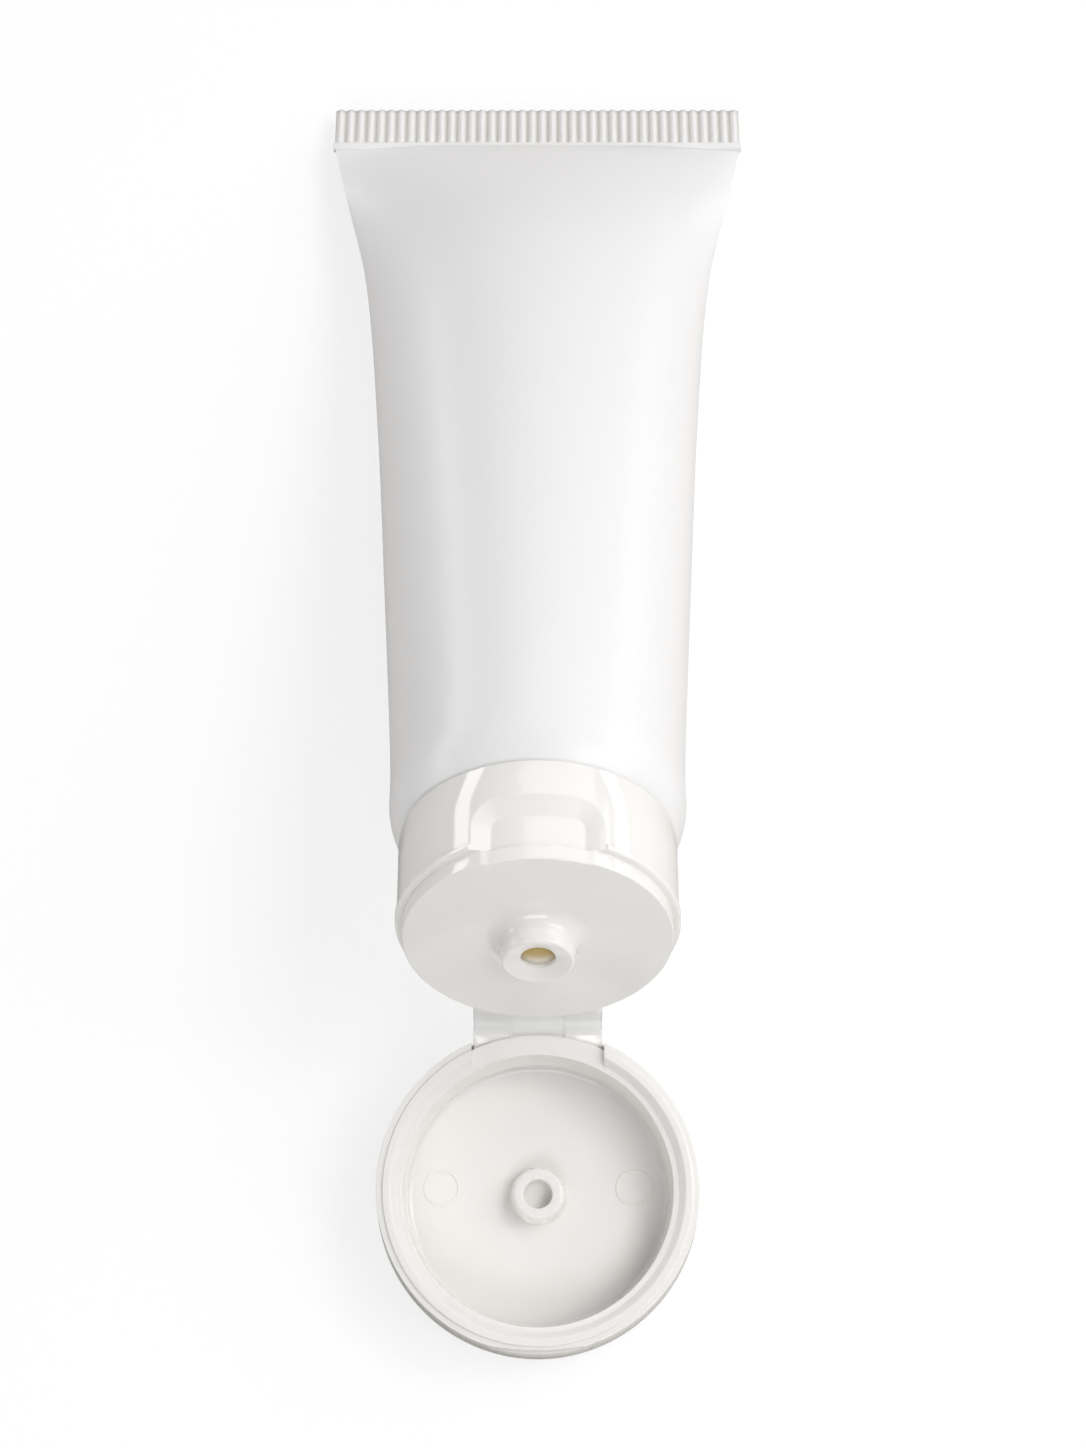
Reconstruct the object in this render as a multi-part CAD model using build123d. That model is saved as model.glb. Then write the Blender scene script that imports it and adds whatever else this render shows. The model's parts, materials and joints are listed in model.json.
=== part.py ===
from build123d import *
from math import asin, cos, pi, sin, sqrt
import os

# A soft plastic squeeze tube with a snap-on flip-top cap, lying on its back with the lid open.
# Lengths are millimetres and angles are degrees.
# The pieces are drawn in the tube's own frame: +Z runs along the tube from the deck of the cap
# to the flat seal, +Y points to the hinge, and the deck's face is at zero.
# Each piece is drawn with the lid shut, then the lid is opened and the whole is laid down.

# Film sleeve
tube_diameter = 35.0
film_wall = 0.5
sleeve_length = 112.9
edge_radius = 10.0
turned_in_depth = 7.6
# Where the sleeve is measured along its length, and its width there beside the round tube
length_shares = (0, 0.05, 0.3, 0.55, 0.77, 0.92, 1)
width_shares = (1, 1, 1.08, 1.17, 1.29, 1.475, pi / 2)

# Pressed seal
rib_count = 40
rib_length = 6.6
rib_depth = 0.2
rib_crest_share = 0.4
rib_flank_share = 0.15
seal_thickness = 1.1
fold_height = 1.2
fold_thickness = 1.6
fold_overhang = 0.2
fold_step = 0.05

# Cap base, whose skirt is set in from the round tube and whose deck is set in from the skirt
skirt_inset = 1.25
skirt_height = 12.4
skirt_wall = 1.6
ledge_width = 0.65
band_height = 2.0
deck_thickness = 1.3
lip_rise = 0.2
lip_height = 0.7
lip_bevel = 0.25
cap_edge_bevel = 0.2
film_seat_gap = 0.1
collar_wall = 1.2
collar_length = 6.4

# Finger recess in the front of the skirt
recess_width = 11.8
recess_height = 4.4
recess_corner = 1.3
recess_depth = 0.9
recess_bevel = 2.1
recess_bevel_depth = 0.8

# Nozzle on the deck
nozzle_height = 3.4
nozzle_foot_diameter = 12.6
nozzle_stem_diameter = 8.8
nozzle_tip_diameter = 8.2
nozzle_tip_round = 0.3
orifice_diameter = 4.0
funnel_depth = 0.8

# Moulded shoulder and neck inside the cap
shoulder_wall = 1.1
shoulder_drop = 3.0
weld_gap = 0.02
neck_diameter = 13.0
neck_wall = 1.5
neck_tip_gap = 0.3
neck_tip_wall = 1.1
neck_orifice_diameter = 4.6
neck_root_height = 8.8
snap_rise = 0.35
snap_height = 1.2
snap_place = 4.2
collar_gap = 0.1

# Filling
fill_gap = 0.1
fill_headspace = 3.0
neck_headspace = 0.9

# Flip lid, whose rings follow one another outwards and inwards from the lip of the skirt
lid_overlap = 1.0
socket_gap = 0.2
mouth_flare = 0.75
rim_width = 0.9
rim_bevel = 0.25
rim_step = 0.35
band_width = 0.75
band_draft = 0.25
lid_end_round = 1.2
seat_gap = 0.1
seat_width = 0.65
inner_wall_draft = 0.5
floor_round = 0.65
lid_floor = 1.25

# Plug that closes the nozzle
plug_diameter = 6.1
plug_root_diameter = 6.9
plug_round = 0.5
plug_length = 3.2
plug_bore_diameter = 3.4
plug_bore_depth = 2.6
plug_seat_depth = 0.45

# Marks that the ejector pins leave on the lid's floor
mark_diameter = 4.4
mark_line = 0.2
mark_rise = 0.1
mark_inset = 4.0
mark_shift = 1.0

# Thumb scoop in the front of the rim
scoop_radius = 33.0
scoop_bite = 0.4
scoop_depth = 1.4

# Hinge
hinge_reach = 0.65
hinge_width = 15.3
strap_width = 4.4
strap_gap = 0.15
strap_slope_share = 0.4
pocket_depth = 0.8
base_leaf_height = 2.4
base_gusset_height = 5.2
lid_leaf_height = 2.6
lid_gusset_height = 6.0
hinge_side_gap = 0.2
film_hinge_diameter = 0.7
film_hinge_gap = 0.08
opening_angle = 117.0

# How far a cutting shape runs past what it cuts, how far a leaf reaches into the ring it stands on,
# and how far an edge may lie from where it is looked for
overrun = 2.0
leaf_overlap = 0.5
edge_tolerance = 0.02

# The steps in the searches for the sleeve's depth and the tilt at rest, and the steepest tilt
depth_steps = 50
tilt_steps = 24
steepest_tilt = 45.0

# Radii and heights that follow from the sizes
tube_radius = tube_diameter / 2
skirt_radius = tube_radius - skirt_inset
skirt_inner_radius = skirt_radius - skirt_wall
deck_radius = skirt_radius - ledge_width
lip_radius = skirt_radius + lip_rise
socket_radius = lip_radius + socket_gap
mouth_radius = socket_radius + mouth_flare
rim_radius = mouth_radius + rim_width
lid_radius = rim_radius + band_width
lid_end_radius = lid_radius + band_draft
seat_radius = socket_radius - seat_width
floor_radius = seat_radius - inner_wall_draft
mark_offset = floor_radius - mark_inset
skirt_top = band_height + skirt_height
edge_centre_radius = tube_radius - edge_radius
edge_drop = sqrt(edge_radius**2 - (skirt_radius - edge_centre_radius) ** 2)
sleeve_start = skirt_top + edge_drop
sleeve_foot = sleeve_start - turned_in_depth
fold_start = sleeve_start + sleeve_length
fold_middle = fold_start + fold_height / 2
neck_tip = deck_thickness + neck_tip_gap
neck_radius = neck_diameter / 2
rim_plane = band_height + lid_overlap
plug_tip = plug_seat_depth - nozzle_height
lid_floor_plane = plug_tip - plug_length
lid_end_plane = lid_floor_plane - lid_floor
hinge_height = band_height
hinge_offset = lid_radius + hinge_reach
half_hinge = hinge_width / 2


def turned(corners):
    """A solid turned about the tube's axis, from its outline's (radius, height) corners.

    A corner may also give fillet or chamfer and the size of it.
    """
    outline = make_face(Polyline([corner[:2] for corner in corners], close=True))
    for radius, height, *finish in corners:
        if finish:
            soften, size = finish
            outline = soften(outline.vertices().sort_by_distance((radius, height, 0))[0], size)
    return revolve(Plane.XZ * outline, Axis.Z)


def disc(diameter, low, high):
    """A plain cylinder on the tube's axis, between two heights."""
    return Pos(0, 0, (low + high) / 2) * Cylinder(diameter / 2, high - low)


def block(width, y_low, y_high, z_low, z_high):
    """A box centred on the middle plane of the cap, from its ranges in Y and Z."""
    place = Pos(0, (y_low + y_high) / 2, (z_low + z_high) / 2)
    return place * Box(width, y_high - y_low, z_high - z_low)


def side_extrusion(corners, width):
    """A solid of constant width across the cap, from its outline's (y, z) corners."""
    outline = make_face(Polyline(corners, close=True))
    return extrude(Plane.YZ * outline, amount=width / 2, both=True)


# Film sleeve
def ellipse_girth(half_width, half_depth):
    """The girth of an ellipse, by Ramanujan's formula."""
    total = half_width + half_depth
    flatness = ((half_width - half_depth) / total) ** 2
    return pi * total * (1 + 3 * flatness / (10 + sqrt(4 - 3 * flatness)))


def half_depth_of(half_width):
    """Half the sleeve's depth where its half width is given, because the film doesn't stretch."""
    low, high = 0, tube_radius
    for _ in range(depth_steps):
        middle = (low + high) / 2
        if ellipse_girth(half_width, middle) < pi * tube_diameter:
            low = middle
        else:
            high = middle
    return low


def sleeve_sections(inset):
    """The sleeve's oval sections from the round end to the fold, drawn in by an inset."""
    sections = []
    for length_share, width_share in zip(length_shares, width_shares):
        half_width = tube_radius * width_share
        half_depth = max(half_depth_of(half_width), fold_thickness / 2 - fold_step)
        height = sleeve_start + (fold_middle - sleeve_start) * length_share
        oval = Ellipse(half_width - inset, half_depth - inset)
        sections.append(Plane.XY.offset(height) * oval)
    return sections


def rounded_end(inset):
    """The turned-in end of the sleeve, drawn in by an inset."""
    radius = edge_radius - inset
    slant = asin(turned_in_depth / radius)
    foot = (edge_centre_radius + radius * cos(slant), sleeve_foot)
    bend = (edge_centre_radius + radius * cos(slant / 2), sleeve_start - radius * sin(slant / 2))
    top = (tube_radius - inset, sleeve_start)
    outline = make_face(
        Curve() + [
            ThreePointArc(foot, bend, top),
            Polyline(top, (0, sleeve_start), (0, sleeve_foot), foot),
        ]
    )
    return revolve(Plane.XZ * outline, Axis.Z)


def sleeve_form(inset):
    """The whole closed form of the sleeve below the fold, drawn in by an inset."""
    return rounded_end(inset) + loft(sleeve_sections(inset))


def ribbed_seal():
    """The flat end of the film, pressed into ribs on both faces."""
    seal_width = pi * tube_radius
    pitch = seal_width / rib_count
    crest, valley = seal_thickness / 2, seal_thickness / 2 - rib_depth
    face = []
    for rib in range(rib_count):
        start = rib * pitch - seal_width / 2
        rise = start + pitch * (1 - rib_crest_share) / 2
        fall = start + pitch * (1 + rib_crest_share) / 2
        flank = pitch * rib_flank_share
        face += [(rise - flank, valley), (rise, crest), (fall, crest), (fall + flank, valley)]
    face = [(-seal_width / 2, valley)] + face + [(seal_width / 2, valley)]
    outline = make_face(Polyline(face + [(x, -y) for x, y in reversed(face)], close=True))
    return extrude(Plane.XY.offset(fold_start) * outline, amount=fold_height + rib_length)


def fold_bead():
    """The smooth fold across the sleeve below the ribs."""
    oval = Ellipse(fold_thickness / 2, fold_height / 2)
    length = pi * tube_radius + 2 * fold_overhang
    return Pos(0, 0, fold_middle) * extrude(Plane.YZ * oval, amount=length / 2, both=True)


def tube_sleeve():
    """The hollow film sleeve, turned in at the cap and pressed flat at the seal."""
    return sleeve_form(0) - sleeve_form(film_wall) + fold_bead() + ribbed_seal()


# Shoulder, neck and filling
def tube_shoulder():
    """The moulded shoulder that the film is welded to, with the neck that the cap snaps on."""
    outside = rounded_end(film_wall + weld_gap)
    inside = rounded_end(film_wall + weld_gap + shoulder_wall)
    above = sleeve_start - shoulder_drop
    shell = outside - inside - disc(tube_diameter, above, sleeve_start + overrun)
    bore = neck_radius - neck_wall
    root = neck_root_height + shoulder_wall
    rim = edge_centre_radius + sqrt((edge_radius - film_wall - weld_gap) ** 2 - turned_in_depth**2)
    cone = turned([
        (neck_orifice_diameter / 2, neck_tip),
        (neck_radius, neck_tip, chamfer, cap_edge_bevel),
        (neck_radius, neck_root_height),
        (rim, sleeve_foot),
        (rim - shoulder_wall, sleeve_foot + shoulder_wall),
        (bore, root),
        (bore, neck_tip + neck_tip_wall),
        (neck_orifice_diameter / 2, neck_tip + neck_tip_wall),
    ])
    snap = turned([
        (bore + neck_wall / 2, snap_place),
        (neck_radius, snap_place),
        (neck_radius + snap_rise, snap_place + snap_height / 2),
        (neck_radius, snap_place + snap_height),
        (bore + neck_wall / 2, snap_place + snap_height),
    ])
    return shell + cone + snap


def cream_fill(shoulder):
    """The filling, which holds the sleeve out and reaches into the neck."""
    bore = neck_radius - neck_wall - fill_gap
    below = rounded_end(film_wall + weld_gap + shoulder_wall + fill_gap)
    above = loft(sleeve_sections(film_wall + fill_gap))
    stem = disc(2 * bore, neck_tip + neck_tip_wall + neck_headspace, sleeve_start)
    top = Plane.XY.offset(fold_start - fill_headspace)
    return split(below + above + stem, bisect_by=top, keep=Keep.BOTTOM) - shoulder


# Cap base
def frames_the_window(middle, high):
    """Whether an edge with this middle lies on the skirt's face round the recess's opening."""
    on_the_face = abs(sqrt(middle.X**2 + middle.Y**2) - lip_radius) < edge_tolerance
    in_height = edge_tolerance - overrun < middle.Z < high + edge_tolerance
    in_width = abs(middle.X) < recess_width / 2 + edge_tolerance
    return on_the_face and in_height and in_width and middle.Y < 0


def recess_cutter():
    """The bevelled finger recess, as the solid that it takes out of the front of the skirt."""
    radius = lip_radius
    high = band_height + recess_height
    blank = disc(2 * radius, -overrun, skirt_top)
    core = disc(2 * (skirt_radius - recess_depth), -overrun, skirt_top)
    window = Rectangle(recess_width, high + 2 * overrun)
    window = fillet(window.vertices().group_by(Axis.Y)[-1], recess_corner)
    middle = high / 2 - overrun
    prism = extrude(Plane.XZ * Pos(0, middle) * window, amount=radius + overrun)
    cut = blank - (prism - core)
    rims = [edge for edge in cut.edges() if frames_the_window(edge.position_at(0.5), high)]
    skin = cut.faces().filter_by(GeomType.CYLINDER).sort_by(SortBy.AREA)[-1]
    bevelled = chamfer(rims, recess_bevel, recess_bevel_depth, reference=skin)
    return blank - bevelled


def cap_shell():
    """The skirt, the ledge for the lid and the deck, with the nozzle and the collar."""
    shell = turned([
        (0, 0),
        (deck_radius, 0, chamfer, cap_edge_bevel),
        (deck_radius, band_height),
        (lip_radius, band_height, chamfer, lip_bevel),
        (lip_radius, band_height + lip_height),
        (skirt_radius, band_height + lip_height + lip_rise),
        (skirt_radius, skirt_top),
        (skirt_inner_radius, skirt_top),
        (skirt_inner_radius, deck_thickness),
        (0, deck_thickness),
    ])
    return shell - rounded_end(-film_seat_gap) + nozzle() + collar() - orifice()


def nozzle():
    """The raised nozzle, with a flared foot and a dished tip."""
    foot, stem, tip = nozzle_foot_diameter / 2, nozzle_stem_diameter / 2, nozzle_tip_diameter / 2
    flare = foot - stem
    outline = make_face(
        Curve() + [
            RadiusArc((foot, 0), (stem, -flare), -flare),
            Polyline(
                (stem, -flare), (tip, -nozzle_height), (orifice_diameter / 2, funnel_depth - nozzle_height),
                (0, funnel_depth - nozzle_height), (0, deck_thickness), (foot, deck_thickness), (foot, 0),
            ),
        ]
    )
    lip = outline.vertices().sort_by_distance((tip, -nozzle_height, 0))[0]
    outline = fillet(lip, nozzle_tip_round)
    return revolve(Plane.XZ * outline, Axis.Z)


def orifice():
    """The hole through the nozzle and the deck."""
    return disc(orifice_diameter, -nozzle_height - overrun, deck_thickness + overrun)


def collar():
    """The ring under the deck that snaps over the bead of the neck."""
    inner = neck_radius + collar_gap
    outer = neck_radius + snap_rise + collar_wall
    end = deck_thickness + collar_length
    groove_low, groove_high = snap_place - collar_gap, snap_place + snap_height + collar_gap
    return turned([
        (inner, deck_thickness / 2),
        (outer, deck_thickness / 2),
        (outer, end),
        (inner, end),
        (inner, groove_high),
        (inner + snap_rise, (groove_low + groove_high) / 2),
        (inner, groove_low),
    ])


def base_leaf():
    """The half of the hinge panel that is moulded on the skirt, with the thin bead that bends."""
    end = hinge_offset - strap_gap
    start = skirt_inner_radius * cos(asin(half_hinge / skirt_inner_radius))
    low = hinge_height + strap_gap
    leaf = side_extrusion(
        [
            (start, low + strap_slope_share * (end - start) / 2),
            (end, low),
            (end, hinge_height + base_leaf_height),
            (start, hinge_height + base_gusset_height),
        ],
        hinge_width,
    )
    pocket = block(
        hinge_width - 2 * strap_width, lip_radius, hinge_offset, hinge_height, low + pocket_depth
    )
    bead = Pos(0, hinge_offset, hinge_height) * Rot(0, 90, 0) * Cylinder(
        film_hinge_diameter / 2, hinge_width
    )
    inside = disc(2 * skirt_inner_radius, 0, skirt_top)
    return leaf - inside - pocket + bead


def cap_base():
    """The snap-on cap without its lid."""
    return cap_shell() - recess_cutter() + base_leaf()


# Flip lid, drawn shut
def lid_dish():
    """The round dish of the lid: stepped rim, sloping inner wall and flat end."""
    seat = band_height - seat_gap
    return turned([
        (0, lid_end_plane),
        (lid_end_radius, lid_end_plane, fillet, lid_end_round),
        (lid_radius, rim_plane - rim_step, chamfer, rim_bevel / 2),
        (rim_radius, rim_plane - rim_step),
        (rim_radius, rim_plane, chamfer, rim_bevel),
        (mouth_radius, rim_plane, chamfer, rim_bevel / 2),
        (socket_radius, seat),
        (seat_radius, seat),
        (floor_radius, lid_floor_plane, fillet, floor_round),
        (0, lid_floor_plane),
    ])


def plug():
    """The hollow plug that stands on the lid's floor and shuts the nozzle."""
    root = plug_root_diameter / 2
    body = turned([
        (0, lid_floor_plane - lid_floor / 2),
        (root, lid_floor_plane - lid_floor / 2),
        (root, lid_floor_plane),
        (plug_diameter / 2, plug_tip, fillet, plug_round),
        (0, plug_tip),
    ])
    return body - disc(plug_bore_diameter, plug_tip - plug_bore_depth, plug_tip + overrun)


def pin_marks():
    """The two thin rings on the lid's floor."""
    rings = Part()
    for side in (-1, 1):
        place = Pos(side * mark_offset, mark_shift, lid_floor_plane)
        ring = Circle(mark_diameter / 2) - Circle(mark_diameter / 2 - mark_line)
        rings += place * extrude(ring, amount=mark_rise, both=True)
    return rings


def thumb_scoop():
    """The crescent taken out of the front of the rim, for the thumb."""
    keep_centre = scoop_radius - lid_radius + scoop_bite
    front = block(2 * lid_radius, -2 * lid_radius, 0, rim_plane - scoop_depth, rim_plane + overrun)
    keep = Pos(0, keep_centre, 0) * disc(2 * scoop_radius, lid_end_plane, rim_plane + 2 * overrun)
    return front - keep


def hinge_notch():
    """What the rim and the outer band lose where the hinge panel passes."""
    width = hinge_width + 2 * hinge_side_gap
    low, middle = hinge_height - lid_leaf_height, hinge_height - strap_gap
    over = block(width, 0, 2 * lid_radius, middle, rim_plane + overrun)
    band = block(width, 0, 2 * lid_radius, low, middle) - disc(2 * rim_radius, low - overrun, rim_plane)
    return over + band


def lid_leaf():
    """The half of the hinge panel that is moulded on the lid."""
    end = hinge_offset - strap_gap
    start = rim_radius * cos(asin(half_hinge / rim_radius)) - leaf_overlap
    top = hinge_height - strap_gap
    leaf = side_extrusion(
        [
            (start, top - strap_slope_share * (end - start)),
            (end, top),
            (end, hinge_height - lid_leaf_height),
            (start, hinge_height - lid_gusset_height),
        ],
        hinge_width,
    )
    pocket = block(
        hinge_width - 2 * strap_width, 0, hinge_offset, top - pocket_depth, hinge_height + overrun
    )
    return leaf - (pocket - disc(2 * rim_radius, lid_end_plane, rim_plane + overrun))


def film_hinge_groove():
    """The round channel that leaves room for the bead that bends."""
    radius = film_hinge_diameter / 2 + film_hinge_gap
    return Pos(0, hinge_offset, hinge_height) * Rot(0, 90, 0) * Cylinder(radius, hinge_width + overrun)


def flip_lid():
    """The whole lid, shut."""
    dish = lid_dish() - hinge_notch() - thumb_scoop()
    return dish + plug() + pin_marks() + lid_leaf() - film_hinge_groove()


# Opening the lid and laying the tube down
def opened(lid):
    """The lid turned about the hinge to its opening angle."""
    axis = Axis((0, hinge_offset, hinge_height), (1, 0, 0))
    return lid.rotate(axis, opening_angle)


def lowest(shape, tilt):
    """The lowest height of a piece once the tube lies on its back, its seal down by a tilt."""
    return (Rot(-(90 + tilt), 0, 0) * shape).bounding_box().min.Z


def resting_tilt(sleeve, lid):
    """The tilt at which the sleeve and the open lid touch the same flat surface."""
    low, high = 0, steepest_tilt
    for _ in range(tilt_steps):
        middle = (low + high) / 2
        if lowest(lid, middle) < lowest(sleeve, middle):
            low = middle
        else:
            high = middle
    return (low + high) / 2


def laid_down(pieces):
    """Every piece turned to its rest, above the origin in the middle of what it covers."""
    tilt = resting_tilt(sleeve_form(0), pieces["flip_lid"])
    turned_pieces = {name: Rot(-(90 + tilt), 0, 0) * piece for name, piece in pieces.items()}
    boxes = [piece.bounding_box() for piece in turned_pieces.values()]
    near, far = min(box.min.Y for box in boxes), max(box.max.Y for box in boxes)
    shift = Pos(0, -(near + far) / 2, -min(box.min.Z for box in boxes))
    return {name: shift * piece for name, piece in turned_pieces.items()}


def make_pieces():
    """All the pieces in the tube's own frame, with the lid open."""
    shoulder = tube_shoulder()
    return {
        "tube_sleeve": tube_sleeve(),
        "tube_shoulder": shoulder,
        "cream_fill": cream_fill(shoulder),
        "cap_base": cap_base(),
        "flip_lid": opened(flip_lid()),
    }


def main():
    os.makedirs("parts", exist_ok=True)
    for name, piece in laid_down(make_pieces()).items():
        export_step(piece, f"parts/{name}.step")


main()
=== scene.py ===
import json
import math

import bmesh
import bpy
from mathutils import Matrix, Vector


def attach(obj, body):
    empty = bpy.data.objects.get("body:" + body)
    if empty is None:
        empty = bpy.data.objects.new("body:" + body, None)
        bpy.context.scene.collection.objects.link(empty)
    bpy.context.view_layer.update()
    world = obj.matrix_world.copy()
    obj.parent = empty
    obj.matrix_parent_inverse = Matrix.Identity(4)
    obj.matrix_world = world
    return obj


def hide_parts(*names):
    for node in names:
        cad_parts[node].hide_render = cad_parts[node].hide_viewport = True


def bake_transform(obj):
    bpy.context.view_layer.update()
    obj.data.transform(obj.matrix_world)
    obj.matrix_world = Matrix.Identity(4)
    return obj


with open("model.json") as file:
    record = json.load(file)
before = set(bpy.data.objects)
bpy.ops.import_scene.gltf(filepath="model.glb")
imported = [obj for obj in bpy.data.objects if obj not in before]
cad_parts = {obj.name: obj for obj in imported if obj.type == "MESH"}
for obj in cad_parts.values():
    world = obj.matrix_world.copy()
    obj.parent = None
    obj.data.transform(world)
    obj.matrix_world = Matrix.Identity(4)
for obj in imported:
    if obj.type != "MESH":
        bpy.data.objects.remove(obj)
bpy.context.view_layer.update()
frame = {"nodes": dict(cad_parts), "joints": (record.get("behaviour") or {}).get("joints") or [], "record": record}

bl_info = {
    "name": "Flip-top squeeze tube",
    "version": (1, 0, 0),
    "blender": (4, 5, 0),
    "location": "View3D > Sidebar > Squeeze tube",
    "description": "Dresses a squeeze tube with a hinged flip-top cap and sets it in a small white studio",
    "category": "Object",
}

RECORD = frame["record"]
HINGE = frame["joints"][0]
MM = 0.001
PHOTO_LONG_SIDE = 1448
SENSOR_LONG_SIDE = 36.0


def mm(value):
    """Millimetres as Blender's metres."""
    return value * MM


def linear(hex_colour):
    """A hex sRGB colour as linear red, green and blue."""
    channels = [int(hex_colour[i:i + 2], 16) / 255 for i in (1, 3, 5)]
    return [c / 12.92 if c <= 0.04045 else ((c + 0.055) / 1.055) ** 2.4 for c in channels]


def length(default, name, description):
    """A length property in metres, from its default in millimetres."""
    return bpy.props.FloatProperty(
        name=name, description=description, default=mm(default), min=0, precision=5,
        subtype="DISTANCE", unit="LENGTH",
    )


def colour(hex_colour, name, description):
    """A colour property."""
    return bpy.props.FloatVectorProperty(
        name=name, description=description, default=linear(hex_colour), size=3, min=0, max=1, subtype="COLOR",
    )


class SleeveSizes(bpy.types.PropertyGroup):
    """Sizes of the film sleeve and its pressed seal."""

    tube_diameter: length(35, "Tube diameter", "Outside diameter of the round tube")
    film_wall: length(0.5, "Film wall", "Thickness of the film")
    start: length(19.24, "Start", "Height above the deck at which the sleeve's straight film starts")
    squeezed_length: length(113.5, "Squeezed length", "From the round end to the middle of the fold")
    edge_radius: length(10, "Edge radius", "Radius of the end that turns in at the cap")
    turned_in_depth: length(7.6, "Turned-in depth", "How far the end turns in below the start")
    fold_thickness: length(1.6, "Fold thickness", "Thickness of the fold below the seal")
    fold_height: length(1.2, "Fold height", "Height of the fold below the seal")
    fold_overhang: length(0.2, "Fold overhang", "How far the fold stands out at each side of the seal")
    seal_thickness: length(1.1, "Seal thickness", "Thickness of the seal over the crests of its ribs")
    rib_length: length(6.6, "Rib length", "Length of the ribs along the tube")
    rib_depth: length(0.42, "Rib depth", "Depth of the valleys between the ribs")
    rib_count: bpy.props.IntProperty(name="Ribs", description="Ribs across the seal", default=40, min=2)


class CapSizes(bpy.types.PropertyGroup):
    """Sizes of the cap with its nozzle."""

    skirt_diameter: length(32.5, "Skirt diameter", "Outside diameter of the skirt")
    skirt_wall: length(1.6, "Skirt wall", "Thickness of the skirt")
    skirt_height: length(12.4, "Skirt height", "Height of the skirt over its ledge")
    ledge: length(0.65, "Ledge", "How far the deck is set in from the skirt")
    band_height: length(2, "Band height", "Height of the deck's own edge below the ledge")
    lip_rise: length(0.2, "Lip rise", "How far the lip stands out from the skirt")
    lip_height: length(0.7, "Lip height", "Height of the lip along the skirt's edge")
    deck_thickness: length(1.3, "Deck thickness", "Thickness of the cap's flat deck")
    film_gap: length(0.4, "Film gap", "Gap between the skirt's top and the film")
    nozzle_height: length(3.4, "Nozzle height", "Height of the nozzle over the deck")
    foot_diameter: length(12.6, "Foot diameter", "Diameter of the nozzle's flared foot")
    stem_diameter: length(8.8, "Stem diameter", "Diameter of the nozzle where the foot ends")
    tip_diameter: length(8.2, "Tip diameter", "Diameter of the nozzle's tip")
    orifice: length(4, "Orifice", "Diameter of the hole through the nozzle")
    funnel_depth: length(0.8, "Funnel depth", "Depth of the dish in the nozzle's tip")
    collar_outer: length(16.1, "Collar outside", "Outside diameter of the collar under the deck")
    collar_inner: length(13.2, "Collar inside", "Inside diameter of the collar under the deck")
    collar_length: length(6.4, "Collar length", "Length of the collar under the deck")
    recess_width: length(11.8, "Recess width", "Width of the finger recess at its floor")
    recess_height: length(4.4, "Recess height", "Height of the recess's floor over the ledge")
    recess_corner: length(1.3, "Recess corner", "Corner radius of the recess's floor")
    recess_bevel: length(2.1, "Recess bevel", "Width of the slope round the recess")
    recess_depth: length(1.3, "Recess depth", "Depth of the recess below the skirt")
    band_dip: length(0.25, "Band dip", "How far the deck's edge lies back below the recess")
    neck_bore: length(10, "Neck bore", "Inside diameter of the neck")
    shoulder_wall: length(1.1, "Shoulder wall", "Thickness of the shoulder")
    foot_inset: length(4.0, "Foot inset", "How far the shoulder's rim lies inside the round tube")
    cream_gap: length(0.12, "Cream gap", "Gap round the filling")
    cream_level: length(3.6, "Cream level", "Height above the deck at which the filling fills the neck")
    cream_tip: length(0.5, "Cream tip", "How far below the nozzle's dish the filling stands in its hole")


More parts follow.
